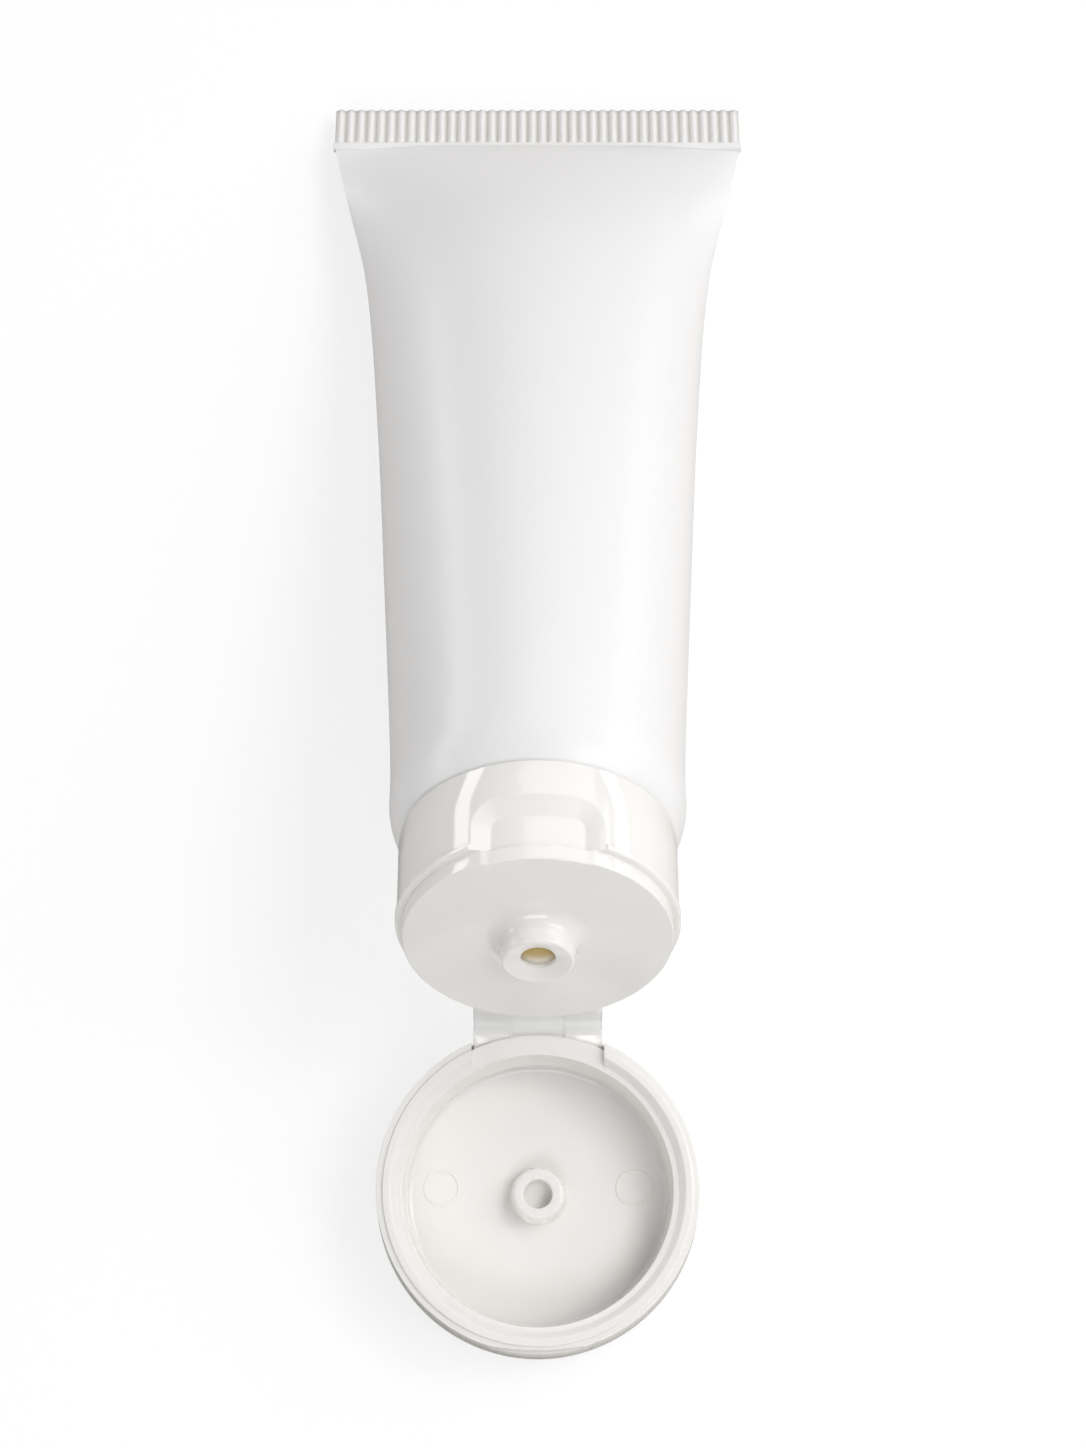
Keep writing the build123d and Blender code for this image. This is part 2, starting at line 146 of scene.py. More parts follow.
class LidSizes(bpy.types.PropertyGroup):
    """Sizes of the flip lid and of the hinge, with the lid shut."""

    end_diameter: length(38.6, "End diameter", "Diameter of the lid at its flat end")
    band_diameter: length(38.1, "Band diameter", "Diameter of the lid below its rim")
    rim_diameter: length(36.6, "Rim diameter", "Outside diameter of the rim")
    mouth_diameter: length(34.8, "Mouth diameter", "Inside diameter of the rim's edge")
    socket_diameter: length(33.3, "Socket diameter", "Diameter of the socket that takes the skirt's lip")
    seat_diameter: length(32, "Seat diameter", "Inside diameter of the step that meets the deck")
    floor_diameter: length(31, "Floor diameter", "Diameter of the lid's floor")
    rim_height: length(3, "Rim height", "Height of the rim's edge over the deck")
    rim_step: length(0.35, "Rim step", "Height of the rim over the outer band")
    seat_height: length(1.9, "Seat height", "Height of the step over the deck")
    floor_depth: length(6.15, "Floor depth", "Depth of the lid's floor below the deck")
    end_depth: length(7.4, "End depth", "Depth of the lid's flat end below the deck")
    plug_diameter: length(6.1, "Plug diameter", "Diameter of the plug at its tip")
    plug_root: length(6.9, "Plug root", "Diameter of the plug at the floor")
    plug_bore: length(3.4, "Plug bore", "Diameter of the hole in the plug")
    plug_depth: length(2.95, "Plug depth", "Depth of the plug's tip below the deck")
    bore_depth: length(2.6, "Bore depth", "Depth of the hole in the plug")
    mark_diameter: length(4.4, "Mark diameter", "Diameter of the rings that the ejector pins leave")
    mark_line: length(0.3, "Mark line", "Width of the rings' line")
    mark_rise: length(0.13, "Mark rise", "Height of the rings' line")
    mark_offset: length(11.5, "Mark offset", "Distance of the rings from the lid's middle")
    mark_shift: length(1, "Mark shift", "How far the rings lie towards the hinge")
    scoop_radius: length(33, "Scoop radius", "Radius of the thumb scoop")
    scoop_bite: length(0.4, "Scoop bite", "How far the scoop cuts into the outer band")
    scoop_depth: length(1.4, "Scoop depth", "Depth of the scoop below the rim's edge")
    hinge_offset: length(19.7, "Hinge offset", "Distance of the hinge from the tube's axis")
    hinge_height: length(2, "Hinge height", "Height of the hinge over the deck")
    hinge_width: length(15.3, "Hinge width", "Width of the hinge panel")
    strap_width: length(4.4, "Strap width", "Width of each strap of the panel")
    strap_gap: length(0.15, "Strap gap", "Half the gap between the leaves with the lid shut")
    pocket_depth: length(0.8, "Pocket depth", "Depth of the panel's middle below its straps")
    base_leaf: length(2.4, "Base leaf", "Height of the upper leaf at the hinge")
    base_gusset: length(5.2, "Base gusset", "Height of the upper leaf at the skirt")
    lid_leaf: length(2.6, "Lid leaf", "Height of the lower leaf at the hinge")
    lid_gusset: length(6, "Lid gusset", "Height of the lower leaf at the lid's band")
    side_gap: length(0.2, "Side gap", "Gap at each side of the panel")
    film: length(0.3, "Hinge film", "Thickness of the film that bends")


class Finishes(bpy.types.PropertyGroup):
    """Colours of the plastics, the filling and the floor."""

    film: colour("#EFEEEE", "Film", "Pearly white polyethylene film")
    cap: colour("#F3F1EE", "Cap", "White polypropylene of the cap and lid")
    shoulder: colour("#E6E3DC", "Shoulder", "Natural polyethylene of the neck")
    cream: colour("#BFA566", "Cream", "Filling seen down the nozzle")
    floor: colour("#F2F2F2", "Floor", "Studio floor")


class StageSizes(bpy.types.PropertyGroup):
    """Where the camera stands, where it looks and how long its lens is."""

    camera_distance: length(452.3, "Camera distance", "From the middle of the deck to the lens")
    camera_slant: bpy.props.FloatProperty(
        name="Camera slant", description="Angle from the tube's front towards the cap", subtype="ANGLE",
        default=math.radians(36.01),
    )
    aim_up: bpy.props.FloatProperty(
        name="Aim up", description="How far the camera looks above the deck", subtype="ANGLE",
        default=math.radians(3.13),
    )
    aim_right: bpy.props.FloatProperty(
        name="Aim right", description="How far the camera looks to the right of the deck", subtype="ANGLE",
        default=math.radians(0.134),
    )
    focal_pixels: bpy.props.FloatProperty(
        name="Focal length in pixels", description="Focal length measured on the full picture", default=3943.0,
    )
    camera_shift: bpy.props.FloatProperty(
        name="Camera shift", description="How far the camera stands to the right of the tube", default=mm(-0.483),
        subtype="DISTANCE", unit="LENGTH",
    )


# Node trees
def add_node(tree, kind, settings=None, inputs=None):
    """Adds a node, sets its properties, and links or fills its inputs."""
    node = tree.nodes.new(kind)
    for name, value in (settings or {}).items():
        setattr(node, name, value)
    for name, value in (inputs or {}).items():
        if isinstance(value, bpy.types.NodeSocket):
            tree.links.new(value, node.inputs[name])
        else:
            node.inputs[name].default_value = value
    return node


def new_material(name):
    """An empty node material with its output, as (material, tree, output)."""
    material = bpy.data.materials.new(name)
    material.use_nodes = True
    tree = material.node_tree
    tree.nodes.clear()
    return material, tree, add_node(tree, "ShaderNodeOutputMaterial")


# The frames of the tube and of its lid
def tube_place():
    """The tube's own frame in the row's frame: +Z along the tube, +Y to the hinge, zero at the deck's face."""
    cap = bpy.context.scene.cap_sizes
    mount = next(m for m in RECORD["mounts"] if m["name"] == "nozzle_orifice")
    along = -Vector(mount["axis"]).normalized()
    across = Vector((1, 0, 0))
    back = along.cross(across)
    wall_middle = (cap.funnel_depth - cap.nozzle_height + cap.deck_thickness) / 2
    origin = Vector(mount["pos_m"]) - along * wall_middle
    place = Matrix((across, back, along)).transposed().to_4x4()
    place.translation = origin
    return place


def finish_piece(mesh, name, place, body):
    """An object with its place in its mesh, riding on a body."""
    mesh.transform(place)
    mesh.name = name
    piece = bpy.data.objects.new(name, mesh)
    bpy.context.scene.collection.objects.link(piece)
    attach(piece, body)
    return piece


def made_by(tree, values, name):
    """The plain mesh that a geometry tree makes with these named inputs."""
    holder = bpy.data.objects.new(name + "_holder", bpy.data.meshes.new(name + "_holder"))
    bpy.context.scene.collection.objects.link(holder)
    modifier = holder.modifiers.new("Shape", "NODES")
    modifier.node_group = tree
    for item in tree.interface.items_tree:
        if item.item_type == "SOCKET" and item.in_out == "INPUT" and item.name in values:
            modifier[item.identifier] = values[item.name]
    bpy.context.view_layer.update()
    evaluated = holder.evaluated_get(bpy.context.evaluated_depsgraph_get())
    mesh = bpy.data.meshes.new_from_object(evaluated)
    holder.modifiers.remove(modifier)
    bpy.data.objects.remove(holder)
    return mesh


def new_tree(name, measures, counts):
    """A geometry tree with named measures and counts to fill in, as (tree, its inputs by name)."""
    tree = bpy.data.node_groups.new(name, "GeometryNodeTree")
    for kind, labels in (("NodeSocketFloat", measures), ("NodeSocketInt", counts)):
        for label in labels:
            tree.interface.new_socket(label, in_out="INPUT", socket_type=kind)
    tree.interface.new_socket("Geometry", in_out="OUTPUT", socket_type="NodeSocketGeometry")
    return tree, {socket.name: socket for socket in add_node(tree, "NodeGroupInput").outputs if socket.name}


def finish_tree(tree, shape, material):
    """Ends a tree with smooth shading, real geometry and the material."""
    smooth = add_node(tree, "GeometryNodeSetShadeSmooth", inputs={"Geometry": shape.outputs[0]})
    real = add_node(tree, "GeometryNodeRealizeInstances", inputs={"Geometry": smooth.outputs[0]})
    coated = add_node(tree, "GeometryNodeSetMaterial", inputs={"Geometry": real.outputs[0], "Material": material})
    add_node(tree, "NodeGroupOutput", inputs={0: coated.outputs[0]})
    return tree


# Film sleeve
LENGTH_SHARES = (0, 0.05, 0.3, 0.55, 0.77, 0.92, 1)
WIDTH_SHARES = (1, 1, 1.08, 1.17, 1.29, 1.475, math.pi / 2)
CURVE_POINTS = 33
GIRTH_STEPS = 40
# The film stays this far inside the solid, and its end reaches this far into the fold
FILM_SHY = mm(0.02)
FOLD_TUCK = mm(0.3)
# How hard the flanks are pinched, the turned-in end's share of the rows, and the outside's share of them
PINCH = 1.2
END_SHARE = 0.1
OUTER_SHARE = 0.75
POINTS_AROUND = 257
SLEEVE_RINGS = 201
WELD = mm(0.001)

# A tree's sums as (name, operation, terms); a term is a number, an input of the tree or an earlier name
SLEEVE_SUMS = (
    ("turn share", "ADD", "x", 0.5),
    ("around", "MULTIPLY", "turn share", 2 * math.pi),
    ("run", "ADD", "y", 0.5),
    # the rows run up the outside and back down the inside, and the last one closes on the first
    ("outward", "DIVIDE", "run", "Outer Share"),
    ("run left", "SUBTRACT", 1.0, "run"),
    ("inner share", "SUBTRACT", 1.0, "Outer Share"),
    ("inward", "DIVIDE", "run left", "inner share"),
    ("share", "MINIMUM", "outward", "inward"),
    ("run past", "SUBTRACT", "run", "Outer Share"),
    ("past", "GREATER_THAN", "run past", 1e-4),
    ("not last", "LESS_THAN", "run", 0.9999),
    ("inside", "MULTIPLY", "past", "not last"),
    ("inset", "MULTIPLY", "inside", "Film Wall"),
    # the end that turns in
    ("radius", "SUBTRACT", "Edge Radius", "inset"),
    ("depth in radii", "DIVIDE", "Turned-in Depth", "radius"),
    ("slant", "ARCSINE", "depth in radii"),
    ("end run", "DIVIDE", "share", "End Share"),
    ("end done", "MINIMUM", "end run", 1.0),
    ("end left", "SUBTRACT", 1.0, "end done"),
    ("angle", "MULTIPLY", "slant", "end left"),
    ("angle sine", "SINE", "angle"),
    ("drop", "MULTIPLY", "radius", "angle sine"),
    ("centre", "SUBTRACT", "Tube Radius", "Edge Radius"),
    ("angle cosine", "COSINE", "angle"),
    ("arm", "MULTIPLY", "radius", "angle cosine"),
    ("reach", "ADD", "centre", "arm"),
    # the ovals
    ("past the end", "SUBTRACT", "share", "End Share"),
    ("oval rows", "SUBTRACT", 1.0, "End Share"),
    ("oval share", "DIVIDE", "past the end", "oval rows"),
    ("along", "MAXIMUM", "oval share", 0.0),
    ("wider", "MULTIPLY", "width curve", "Tube Radius"),
    ("depth lost", "SUBTRACT", 1.0, "depth curve"),
    ("shallower", "MULTIPLY", "depth lost", "Tube Radius"),
    ("half width", "ADD", "reach", "wider"),
    ("flat end", "SUBTRACT", "Half Fold", "inset"),
    ("oval depth", "SUBTRACT", "reach", "shallower"),
    ("half depth", "MAXIMUM", "oval depth", "flat end"),
    # towards the fold the flanks are pinched flatter than an ellipse
    ("sine", "SINE", "around"),
    ("late", "POWER", "along", 5.0),
    ("pinch here", "MULTIPLY", "Pinch", "late"),
    ("sine size", "ABSOLUTE", "sine"),
    ("flank", "POWER", "sine size", "pinch here"),
    ("cosine", "COSINE", "around"),
    ("across", "MULTIPLY", "half width", "cosine"),
    ("oval deep", "MULTIPLY", "half depth", "sine"),
    ("deep", "MULTIPLY", "oval deep", "flank"),
    ("foot", "SUBTRACT", "Start", "drop"),
    ("high", "MULTIPLY_ADD", "along", "Squeezed Length", "foot"),
)


def ellipse_girth(half_width, half_depth):
    """The girth of an ellipse, by Ramanujan's formula."""
    total = half_width + half_depth
    flatness = ((half_width - half_depth) / total) ** 2
    return math.pi * total * (1 + 3 * flatness / (10 + math.sqrt(4 - 3 * flatness)))


def depth_share(width_share):
    """The sleeve's depth as a share of the round tube where its width share is given."""
    low, high = 0, 1
    for _ in range(GIRTH_STEPS):
        middle = (low + high) / 2
        if ellipse_girth(width_share, middle) < 2 * math.pi:
            low = middle
        else:
            high = middle
    return low


def smooth_share(at, stations, values):
    """A smooth curve through the values, by slopes taken from each one's neighbours."""
    last = len(stations) - 1
    k = min(max(i for i in range(last + 1) if stations[i] <= at), last - 1)

    def slope(i):
        low, high = max(i - 1, 0), min(i + 1, last)
        return (values[high] - values[low]) / (stations[high] - stations[low])

    span = stations[k + 1] - stations[k]
    t = (at - stations[k]) / span
    return (
        (2 * t**3 - 3 * t**2 + 1) * values[k] + (t**3 - 2 * t**2 + t) * span * slope(k)
        + (3 * t**2 - 2 * t**3) * values[k + 1] + (t**3 - t**2) * span * slope(k + 1)
    )


def fill_curve(node, rule):
    """Sets a Float Curve node's points to a rule of 0 to 1."""
    curve = node.mapping.curves[0]
    node.mapping.use_clip = False
    for i in range(1, CURVE_POINTS - 1):
        curve.points.new(i / (CURVE_POINTS - 1), 0)
    for i, point in enumerate(curve.points):
        at = i / (CURVE_POINTS - 1)
        point.location = (at, rule(at))
    node.mapping.update()


def sleeve_tree(material):
    """The closed shell of the film: a round end that turns in, then ovals of one girth up to the fold."""
    tree, values = new_tree("Squeezed film sleeve", (
        "Tube Radius", "Film Wall", "Start", "Squeezed Length", "Edge Radius", "Turned-in Depth", "Half Fold",
        "Pinch", "End Share", "Outer Share",
    ), ("Points Around", "Rings"))
    grid = add_node(tree, "GeometryNodeMeshGrid", inputs={
        "Size X": 1.0, "Size Y": 1.0, "Vertices X": values["Points Around"], "Vertices Y": values["Rings"],
    })
    place = add_node(tree, "GeometryNodeInputPosition").outputs[0]
    values["x"], values["y"], values["z"] = add_node(tree, "ShaderNodeSeparateXYZ", inputs={0: place}).outputs
    curves = [add_node(tree, "ShaderNodeFloatCurve") for _ in range(2)]
    fill_curve(curves[0], lambda at: smooth_share(at, LENGTH_SHARES, WIDTH_SHARES) - 1)
    fill_curve(curves[1], lambda at: depth_share(smooth_share(at, LENGTH_SHARES, WIDTH_SHARES)))
    values["width curve"], values["depth curve"] = (curve.outputs[0] for curve in curves)
    for name, operation, *terms in SLEEVE_SUMS:
        inputs = {i: values.get(term, term) for i, term in enumerate(terms)}
        values[name] = add_node(tree, "ShaderNodeMath", {"operation": operation}, inputs).outputs[0]
    for curve in curves:
        tree.links.new(values["along"], curve.inputs["Value"])
    point = add_node(tree, "ShaderNodeCombineXYZ", inputs={
        i: values[name] for i, name in enumerate(("across", "deep", "high"))
    })
    shape = add_node(tree, "GeometryNodeSetPosition", inputs={
        "Geometry": grid.outputs["Mesh"], "Position": point.outputs[0],
    })
    for name in ("inside", "along"):
        shape = add_node(tree, "GeometryNodeStoreNamedAttribute", {"data_type": "FLOAT", "domain": "POINT"}, {
            "Geometry": shape.outputs[0], "Name": name, "Value": values[name],
        })
    closed = add_node(tree, "GeometryNodeMergeByDistance", inputs={"Geometry": shape.outputs[0], "Distance": WELD})
    return finish_tree(tree, closed, material)


# Pressed seal
POINTS_PER_RIB = 12
PLATE_ROWS = 13
FOLD_POINTS = (33, 121)
# Shares of the plate's height: where the ribs fade in, and where the cut edge starts to thin, and to what
RIB_FADE = (0.04, 0.14)
CUT_EDGE = 0.9
CUT_EDGE_THICKNESS = 0.72

SEAL_SUMS = (
    ("columns", "MULTIPLY_ADD", "Ribs", "Points Per Rib", 1.0),
    ("width share", "ADD", "x", 0.5),
    ("ribs passed", "MULTIPLY", "width share", "Ribs"),
    ("phase", "MULTIPLY", "ribs passed", 2 * math.pi),
    ("wave", "COSINE", "phase"),
    ("hollow", "MULTIPLY_ADD", "wave", 0.5, 0.5),
    ("up", "ADD", "z", 0.5),
    ("crest", "SUBTRACT", 1.0, "hollow"),
    ("rib", "MULTIPLY", "crest", "fade"),
    ("half", "MULTIPLY", "Seal Thickness", 0.5),
    ("valley", "SUBTRACT", "half", "Rib Depth"),
    ("plate half", "MULTIPLY_ADD", "rib", "Rib Depth", "valley"),
    ("surface", "MULTIPLY", "plate half", "soften"),
    ("side", "SIGN", "y"),
    ("face", "MULTIPLY", "side", "surface"),
    ("across", "MULTIPLY", "x", "Seal Width"),
    ("half height", "MULTIPLY", "Fold Height", 0.5),
    ("plate height", "ADD", "Rib Length", "half height"),
    ("high", "MULTIPLY_ADD", "up", "plate height", "Seal Start"),
    # the share of painted shade in each valley, strongest at the valley floor
    ("deep hollow", "POWER", "hollow", 1.6),
    ("thin", "MULTIPLY", "deep hollow", "fade"),
    # the fold is a long bar, rounded all round and drawn in at both ends
    ("turn", "MULTIPLY", "x", math.pi),
    ("lean", "MULTIPLY", "y", math.pi / 2),
    ("lean sine", "SINE", "lean"),
    ("lean sine size", "ABSOLUTE", "lean sine"),
    ("far share", "POWER", "lean sine size", 0.35),
    ("far", "MULTIPLY", "far share", "side"),
    ("lean cosine", "COSINE", "lean"),
    ("lean cosine size", "ABSOLUTE", "lean cosine"),
    ("full", "POWER", "lean cosine size", 0.08),
    ("off middle", "ABSOLUTE", "y"),
    ("before end", "LESS_THAN", "off middle", 0.9999),
    ("thick", "MULTIPLY", "full", "before end"),
    ("reach", "MULTIPLY_ADD", "Seal Width", 0.5, "Fold Overhang"),
    ("turn cosine", "COSINE", "turn"),
    ("bar deep share", "MULTIPLY", "turn cosine", "thick"),
    ("half thickness", "MULTIPLY", "Fold Thickness", 0.5),
    ("bar deep", "MULTIPLY", "bar deep share", "half thickness"),
    ("turn sine", "SINE", "turn"),
    ("bar rise share", "MULTIPLY", "turn sine", "thick"),
    ("bar rise", "MULTIPLY", "bar rise share", "half height"),
    ("bar across", "MULTIPLY", "far", "reach"),
    ("bar high", "ADD", "bar rise", "Seal Start"),
)


def seal_tree(material):
    """The flat seal with its ribs, and the smooth fold below it."""
    tree, values = new_tree("Ribbed seal", (
        "Seal Width", "Seal Thickness", "Rib Length", "Rib Depth", "Seal Start", "Fold Height", "Fold Thickness",
        "Fold Overhang",
    ), ("Ribs", "Points Per Rib"))
    place = add_node(tree, "GeometryNodeInputPosition").outputs[0]
    values["x"], values["y"], values["z"] = add_node(tree, "ShaderNodeSeparateXYZ", inputs={0: place}).outputs
    # the ribs run out on to the plate just above the fold, and the cut edge at the top is softened
    eases = [add_node(tree, "ShaderNodeMapRange", {"interpolation_type": "SMOOTHSTEP"}, limits) for limits in (
        {"From Min": RIB_FADE[0], "From Max": RIB_FADE[1]},
        {"From Min": CUT_EDGE, "From Max": 1.0, "To Min": 1.0, "To Max": CUT_EDGE_THICKNESS},
    )]
    values["fade"], values["soften"] = (ease.outputs[0] for ease in eases)
    for name, operation, *terms in SEAL_SUMS:
        inputs = {i: values.get(term, term) for i, term in enumerate(terms)}
        values[name] = add_node(tree, "ShaderNodeMath", {"operation": operation}, inputs).outputs[0]
    for ease in eases:
        tree.links.new(values["up"], ease.inputs["Value"])
    size = add_node(tree, "ShaderNodeCombineXYZ", inputs={0: 1.0, 1: 1.0, 2: 1.0})
    plate = add_node(tree, "GeometryNodeMeshCube", inputs={
        "Size": size.outputs[0], "Vertices X": values["columns"], "Vertices Y": 2, "Vertices Z": PLATE_ROWS,
    })
    # the valleys are marked on the flat plate, before the ribs are pressed into it, so that the film's material
    # can paint shade into them
    marked = add_node(tree, "GeometryNodeStoreNamedAttribute", {"data_type": "FLOAT", "domain": "POINT"}, {
        "Geometry": plate.outputs["Mesh"], "Name": "valley", "Value": values["thin"],
    })
    grid = add_node(tree, "GeometryNodeMeshGrid", inputs={
        "Size X": 2.0, "Size Y": 2.0, "Vertices X": FOLD_POINTS[0], "Vertices Y": FOLD_POINTS[1],
    })
    pressed, fold = [
        add_node(tree, "GeometryNodeSetPosition", inputs={
            "Geometry": shape,
            "Position": add_node(tree, "ShaderNodeCombineXYZ", inputs={
                i: values[name] for i, name in enumerate(names)
            }).outputs[0],
        })
        for shape, names in (
            (marked.outputs[0], ("across", "face", "high")),
            (grid.outputs["Mesh"], ("bar across", "bar deep", "bar high")),
        )
    ]
    closed = add_node(tree, "GeometryNodeMergeByDistance", inputs={"Geometry": fold.outputs[0], "Distance": WELD})
    both = add_node(tree, "GeometryNodeJoinGeometry", inputs={0: closed.outputs[0]})
    tree.links.new(pressed.outputs[0], both.inputs[0])
    return finish_tree(tree, both, material)


# Mouldings
ROUND_POINTS = 5
SIDES = 288
FINE_SIDES = 120
FINE_HALF_ANGLE = math.radians(33)
WALL_ROWS = 44
FLARE_STEPS = 12
HAIR = mm(0.01)
# Margins: over the recess's bevel, over the wall's fine rows, and of the rim that joins recess and skirt
RECESS_MARGIN = mm(0.2)
FINE_ROWS_MARGIN = mm(0.3)
RECESS_BLEND = mm(0.02)
# Height of the narrow ring at the top of the deck's edge, and how deep the pin marks stand in the floor
BAND_RING = mm(0.15)
MARK_SUNK = mm(0.1)
# How far the dip in the deck's edge runs out beside the recess, and how far its own edge is eased
DIP_RUN = mm(1.2)
DIP_EASE = mm(0.14)
# How far cutting shapes run past what they cut
PAST = mm(1)
FAR_PAST = mm(2)
# Soft edges of the lid and of the hinge's leaves
LID_EDGE = mm(0.06)
LEAF_EDGE = mm(0.14)
# How steeply each leaf falls away from the hinge, as a share of its length
BASE_LEAF_SLOPE = 0.2
LID_LEAF_SLOPE = 0.4
# Radii of the rounds at the corners of the cap's and the lid's outlines
CAP_ROUNDS = {name: mm(radius) for name, radius in (
    ("orifice", 0.12), ("tip", 0.35), ("deck", 0.2), ("lip foot", 0.3), ("lip top", 0.1), ("film edge", 0.12),
    ("skirt root", 0.4), ("collar root", 0.3), ("collar end", 0.2),
)}
LID_ROUNDS = {name: mm(radius) for name, radius in (
    ("end", 1.2), ("step", 0.14), ("rim foot", 0.06), ("rim", 0.16), ("mouth", 0.22), ("socket", 0.12),
    ("seat", 0.14), ("floor", 0.65), ("plug root", 0.3), ("plug tip", 0.5), ("bore", 0.2), ("mark", 0.08),
)}


def rounded(corners):
    """An outline's points, from (radius, height) corners that may carry the radius of a round."""
    points = []
    for i, (radius, height, *rounding) in enumerate(corners):
        corner = Vector((radius, height))
        if not rounding:
            points.append(corner)
            continue
        before = (Vector(corners[i - 1][:2]) - corner).normalized()
        after = (Vector(corners[(i + 1) % len(corners)][:2]) - corner).normalized()
        half = before.angle(after) / 2
        centre = corner + (before + after).normalized() * rounding[0] / math.sin(half)
        reach = rounding[0] / math.tan(half)
        start, end = corner + before * reach - centre, corner + after * reach - centre
        turn = start.angle(end)
        for k in range(ROUND_POINTS + 1):
            share = k / ROUND_POINTS
            arm = start * math.sin((1 - share) * turn) + end * math.sin(share * turn)
            points.append(centre + arm / math.sin(turn))
    return points


def turned(points, angles, name, bend=None):
    """A closed mesh turned about the tube's axis, with a rule that may bend each point."""
    shape = bmesh.new()
    rows = []
    for radius, height in points:
        if radius < mm(0.001):
            rows.append([shape.verts.new((0, 0, height))] * len(angles))
            continue
        row = []
        for angle in angles:
            reach = bend(radius, height, angle) if bend else radius
            row.append(shape.verts.new((reach * math.cos(angle), reach * math.sin(angle), height)))
        rows.append(row)
    ends = [] if points[0][0] < mm(0.001) else [(rows[-1], rows[0])]
    for low, high in list(zip(rows, rows[1:])) + ends:
        for i in range(len(angles)):
            k = (i + 1) % len(angles)
            corners = []
            for vert in (low[i], low[k], high[k], high[i]):
                if vert not in corners:
                    corners.append(vert)
            shape.faces.new(corners)
    bmesh.ops.recalc_face_normals(shape, faces=shape.faces)
    return to_mesh(shape, name)


def to_mesh(shape, name):
    """A plain mesh from a bmesh, which it frees."""
    mesh = bpy.data.meshes.new(name)
    shape.to_mesh(mesh)
    shape.free()
    return mesh


def bar(outline, width, name):
    """A bar across the cap, from its outline's (y, z) corners."""
    shape = bmesh.new()
    ends = [[shape.verts.new((x, y, z)) for y, z in outline] for x in (-width / 2, width / 2)]
    shape.faces.new(ends[0])
    shape.faces.new(list(reversed(ends[1])))
    for i in range(len(outline)):
        k = (i + 1) % len(outline)
        shape.faces.new((ends[0][i], ends[1][i], ends[1][k], ends[0][k]))
    bmesh.ops.recalc_face_normals(shape, faces=shape.faces)
    return to_mesh(shape, name)


def box(width, y_low, y_high, z_low, z_high, name):
    """A block centred on the middle plane of the cap."""
    return bar([(y_low, z_low), (y_high, z_low), (y_high, z_high), (y_low, z_high)], width, name)


def even_angles(count=SIDES):
    """Angles spread evenly round the axis."""
    return [2 * math.pi * i / count for i in range(count)]


def front_fine_angles():
    """Angles round the axis that lie closer together at the front, where the recess is."""
    front = -math.pi / 2
    fine = [front + FINE_HALF_ANGLE * (2 * i / FINE_SIDES - 1) for i in range(FINE_SIDES)]
    rest = 2 * math.pi - 2 * FINE_HALF_ANGLE
    return fine + [front + FINE_HALF_ANGLE + rest * i / SIDES for i in range(SIDES)]


def combined(mesh, others, operation, soft=0):
    """A mesh cut by or joined to others, with its sharp edges softened by a fine bevel."""
    holder = bpy.data.objects.new(mesh.name, mesh)
    bpy.context.scene.collection.objects.link(holder)
    helpers = []
    for other in others:
        helper = bpy.data.objects.new(other.name, other)
        bpy.context.scene.collection.objects.link(helper)
        step = holder.modifiers.new(other.name, "BOOLEAN")
        step.operation, step.solver, step.object = operation, "EXACT", helper
        helpers.append(helper)
    if soft:
        bevel = holder.modifiers.new("Soft edges", "BEVEL")
        bevel.width, bevel.segments, bevel.limit_method = soft, 3, "ANGLE"
        bevel.angle_limit = math.radians(40)
    bpy.context.view_layer.update()
    result = bpy.data.meshes.new_from_object(holder.evaluated_get(bpy.context.evaluated_depsgraph_get()))
    for helper in (holder, *helpers):
        bpy.data.objects.remove(helper)
    return result


def softly_shaded(mesh, angle=32):
    """Smooth shading, with edges sharper than an angle left crisp."""
    mesh.shade_smooth()
    mesh.set_sharp_from_angle(angle=math.radians(angle))
    return mesh


def dressed(mesh, material):
    """A mesh whose every face has this material."""
    mesh.materials.clear()
    mesh.materials.append(material)
    mesh.polygons.foreach_set("material_index", [0] * len(mesh.polygons))
    return mesh


def recess_reach(cap):
    """The rule that lays the skirt's front back into the bevelled finger recess."""
    skirt, band = cap.skirt_diameter / 2, cap.band_height
    half, top = cap.recess_width / 2, cap.band_height + cap.recess_height
    floor = skirt - cap.recess_depth

    def reach(radius, height, angle):
        across = abs((angle + math.pi / 2 + math.pi) % (2 * math.pi) - math.pi) * skirt
        if skirt - 2 * cap.ledge < radius < skirt - cap.ledge + HAIR and height <= band:
            near = min(max((half + DIP_RUN - across) / DIP_RUN, 0), 1)
            eased = cap.band_dip + (DIP_EASE if height > band - HAIR else 0)
            return radius - eased * near**2 * (3 - 2 * near)
        if radius <= skirt - cap.ledge + HAIR or height > top + cap.recess_bevel + RECESS_MARGIN:
            return radius
        beside = Vector((
            max(across - half + cap.recess_corner, 0), max(height - top + cap.recess_corner, 0)
        )).length - cap.recess_corner
        slope = beside / cap.recess_bevel
        return min(radius, floor + (cap.recess_depth + RECESS_BLEND) * max(slope, 0)) if slope < 1 else radius

    return reach


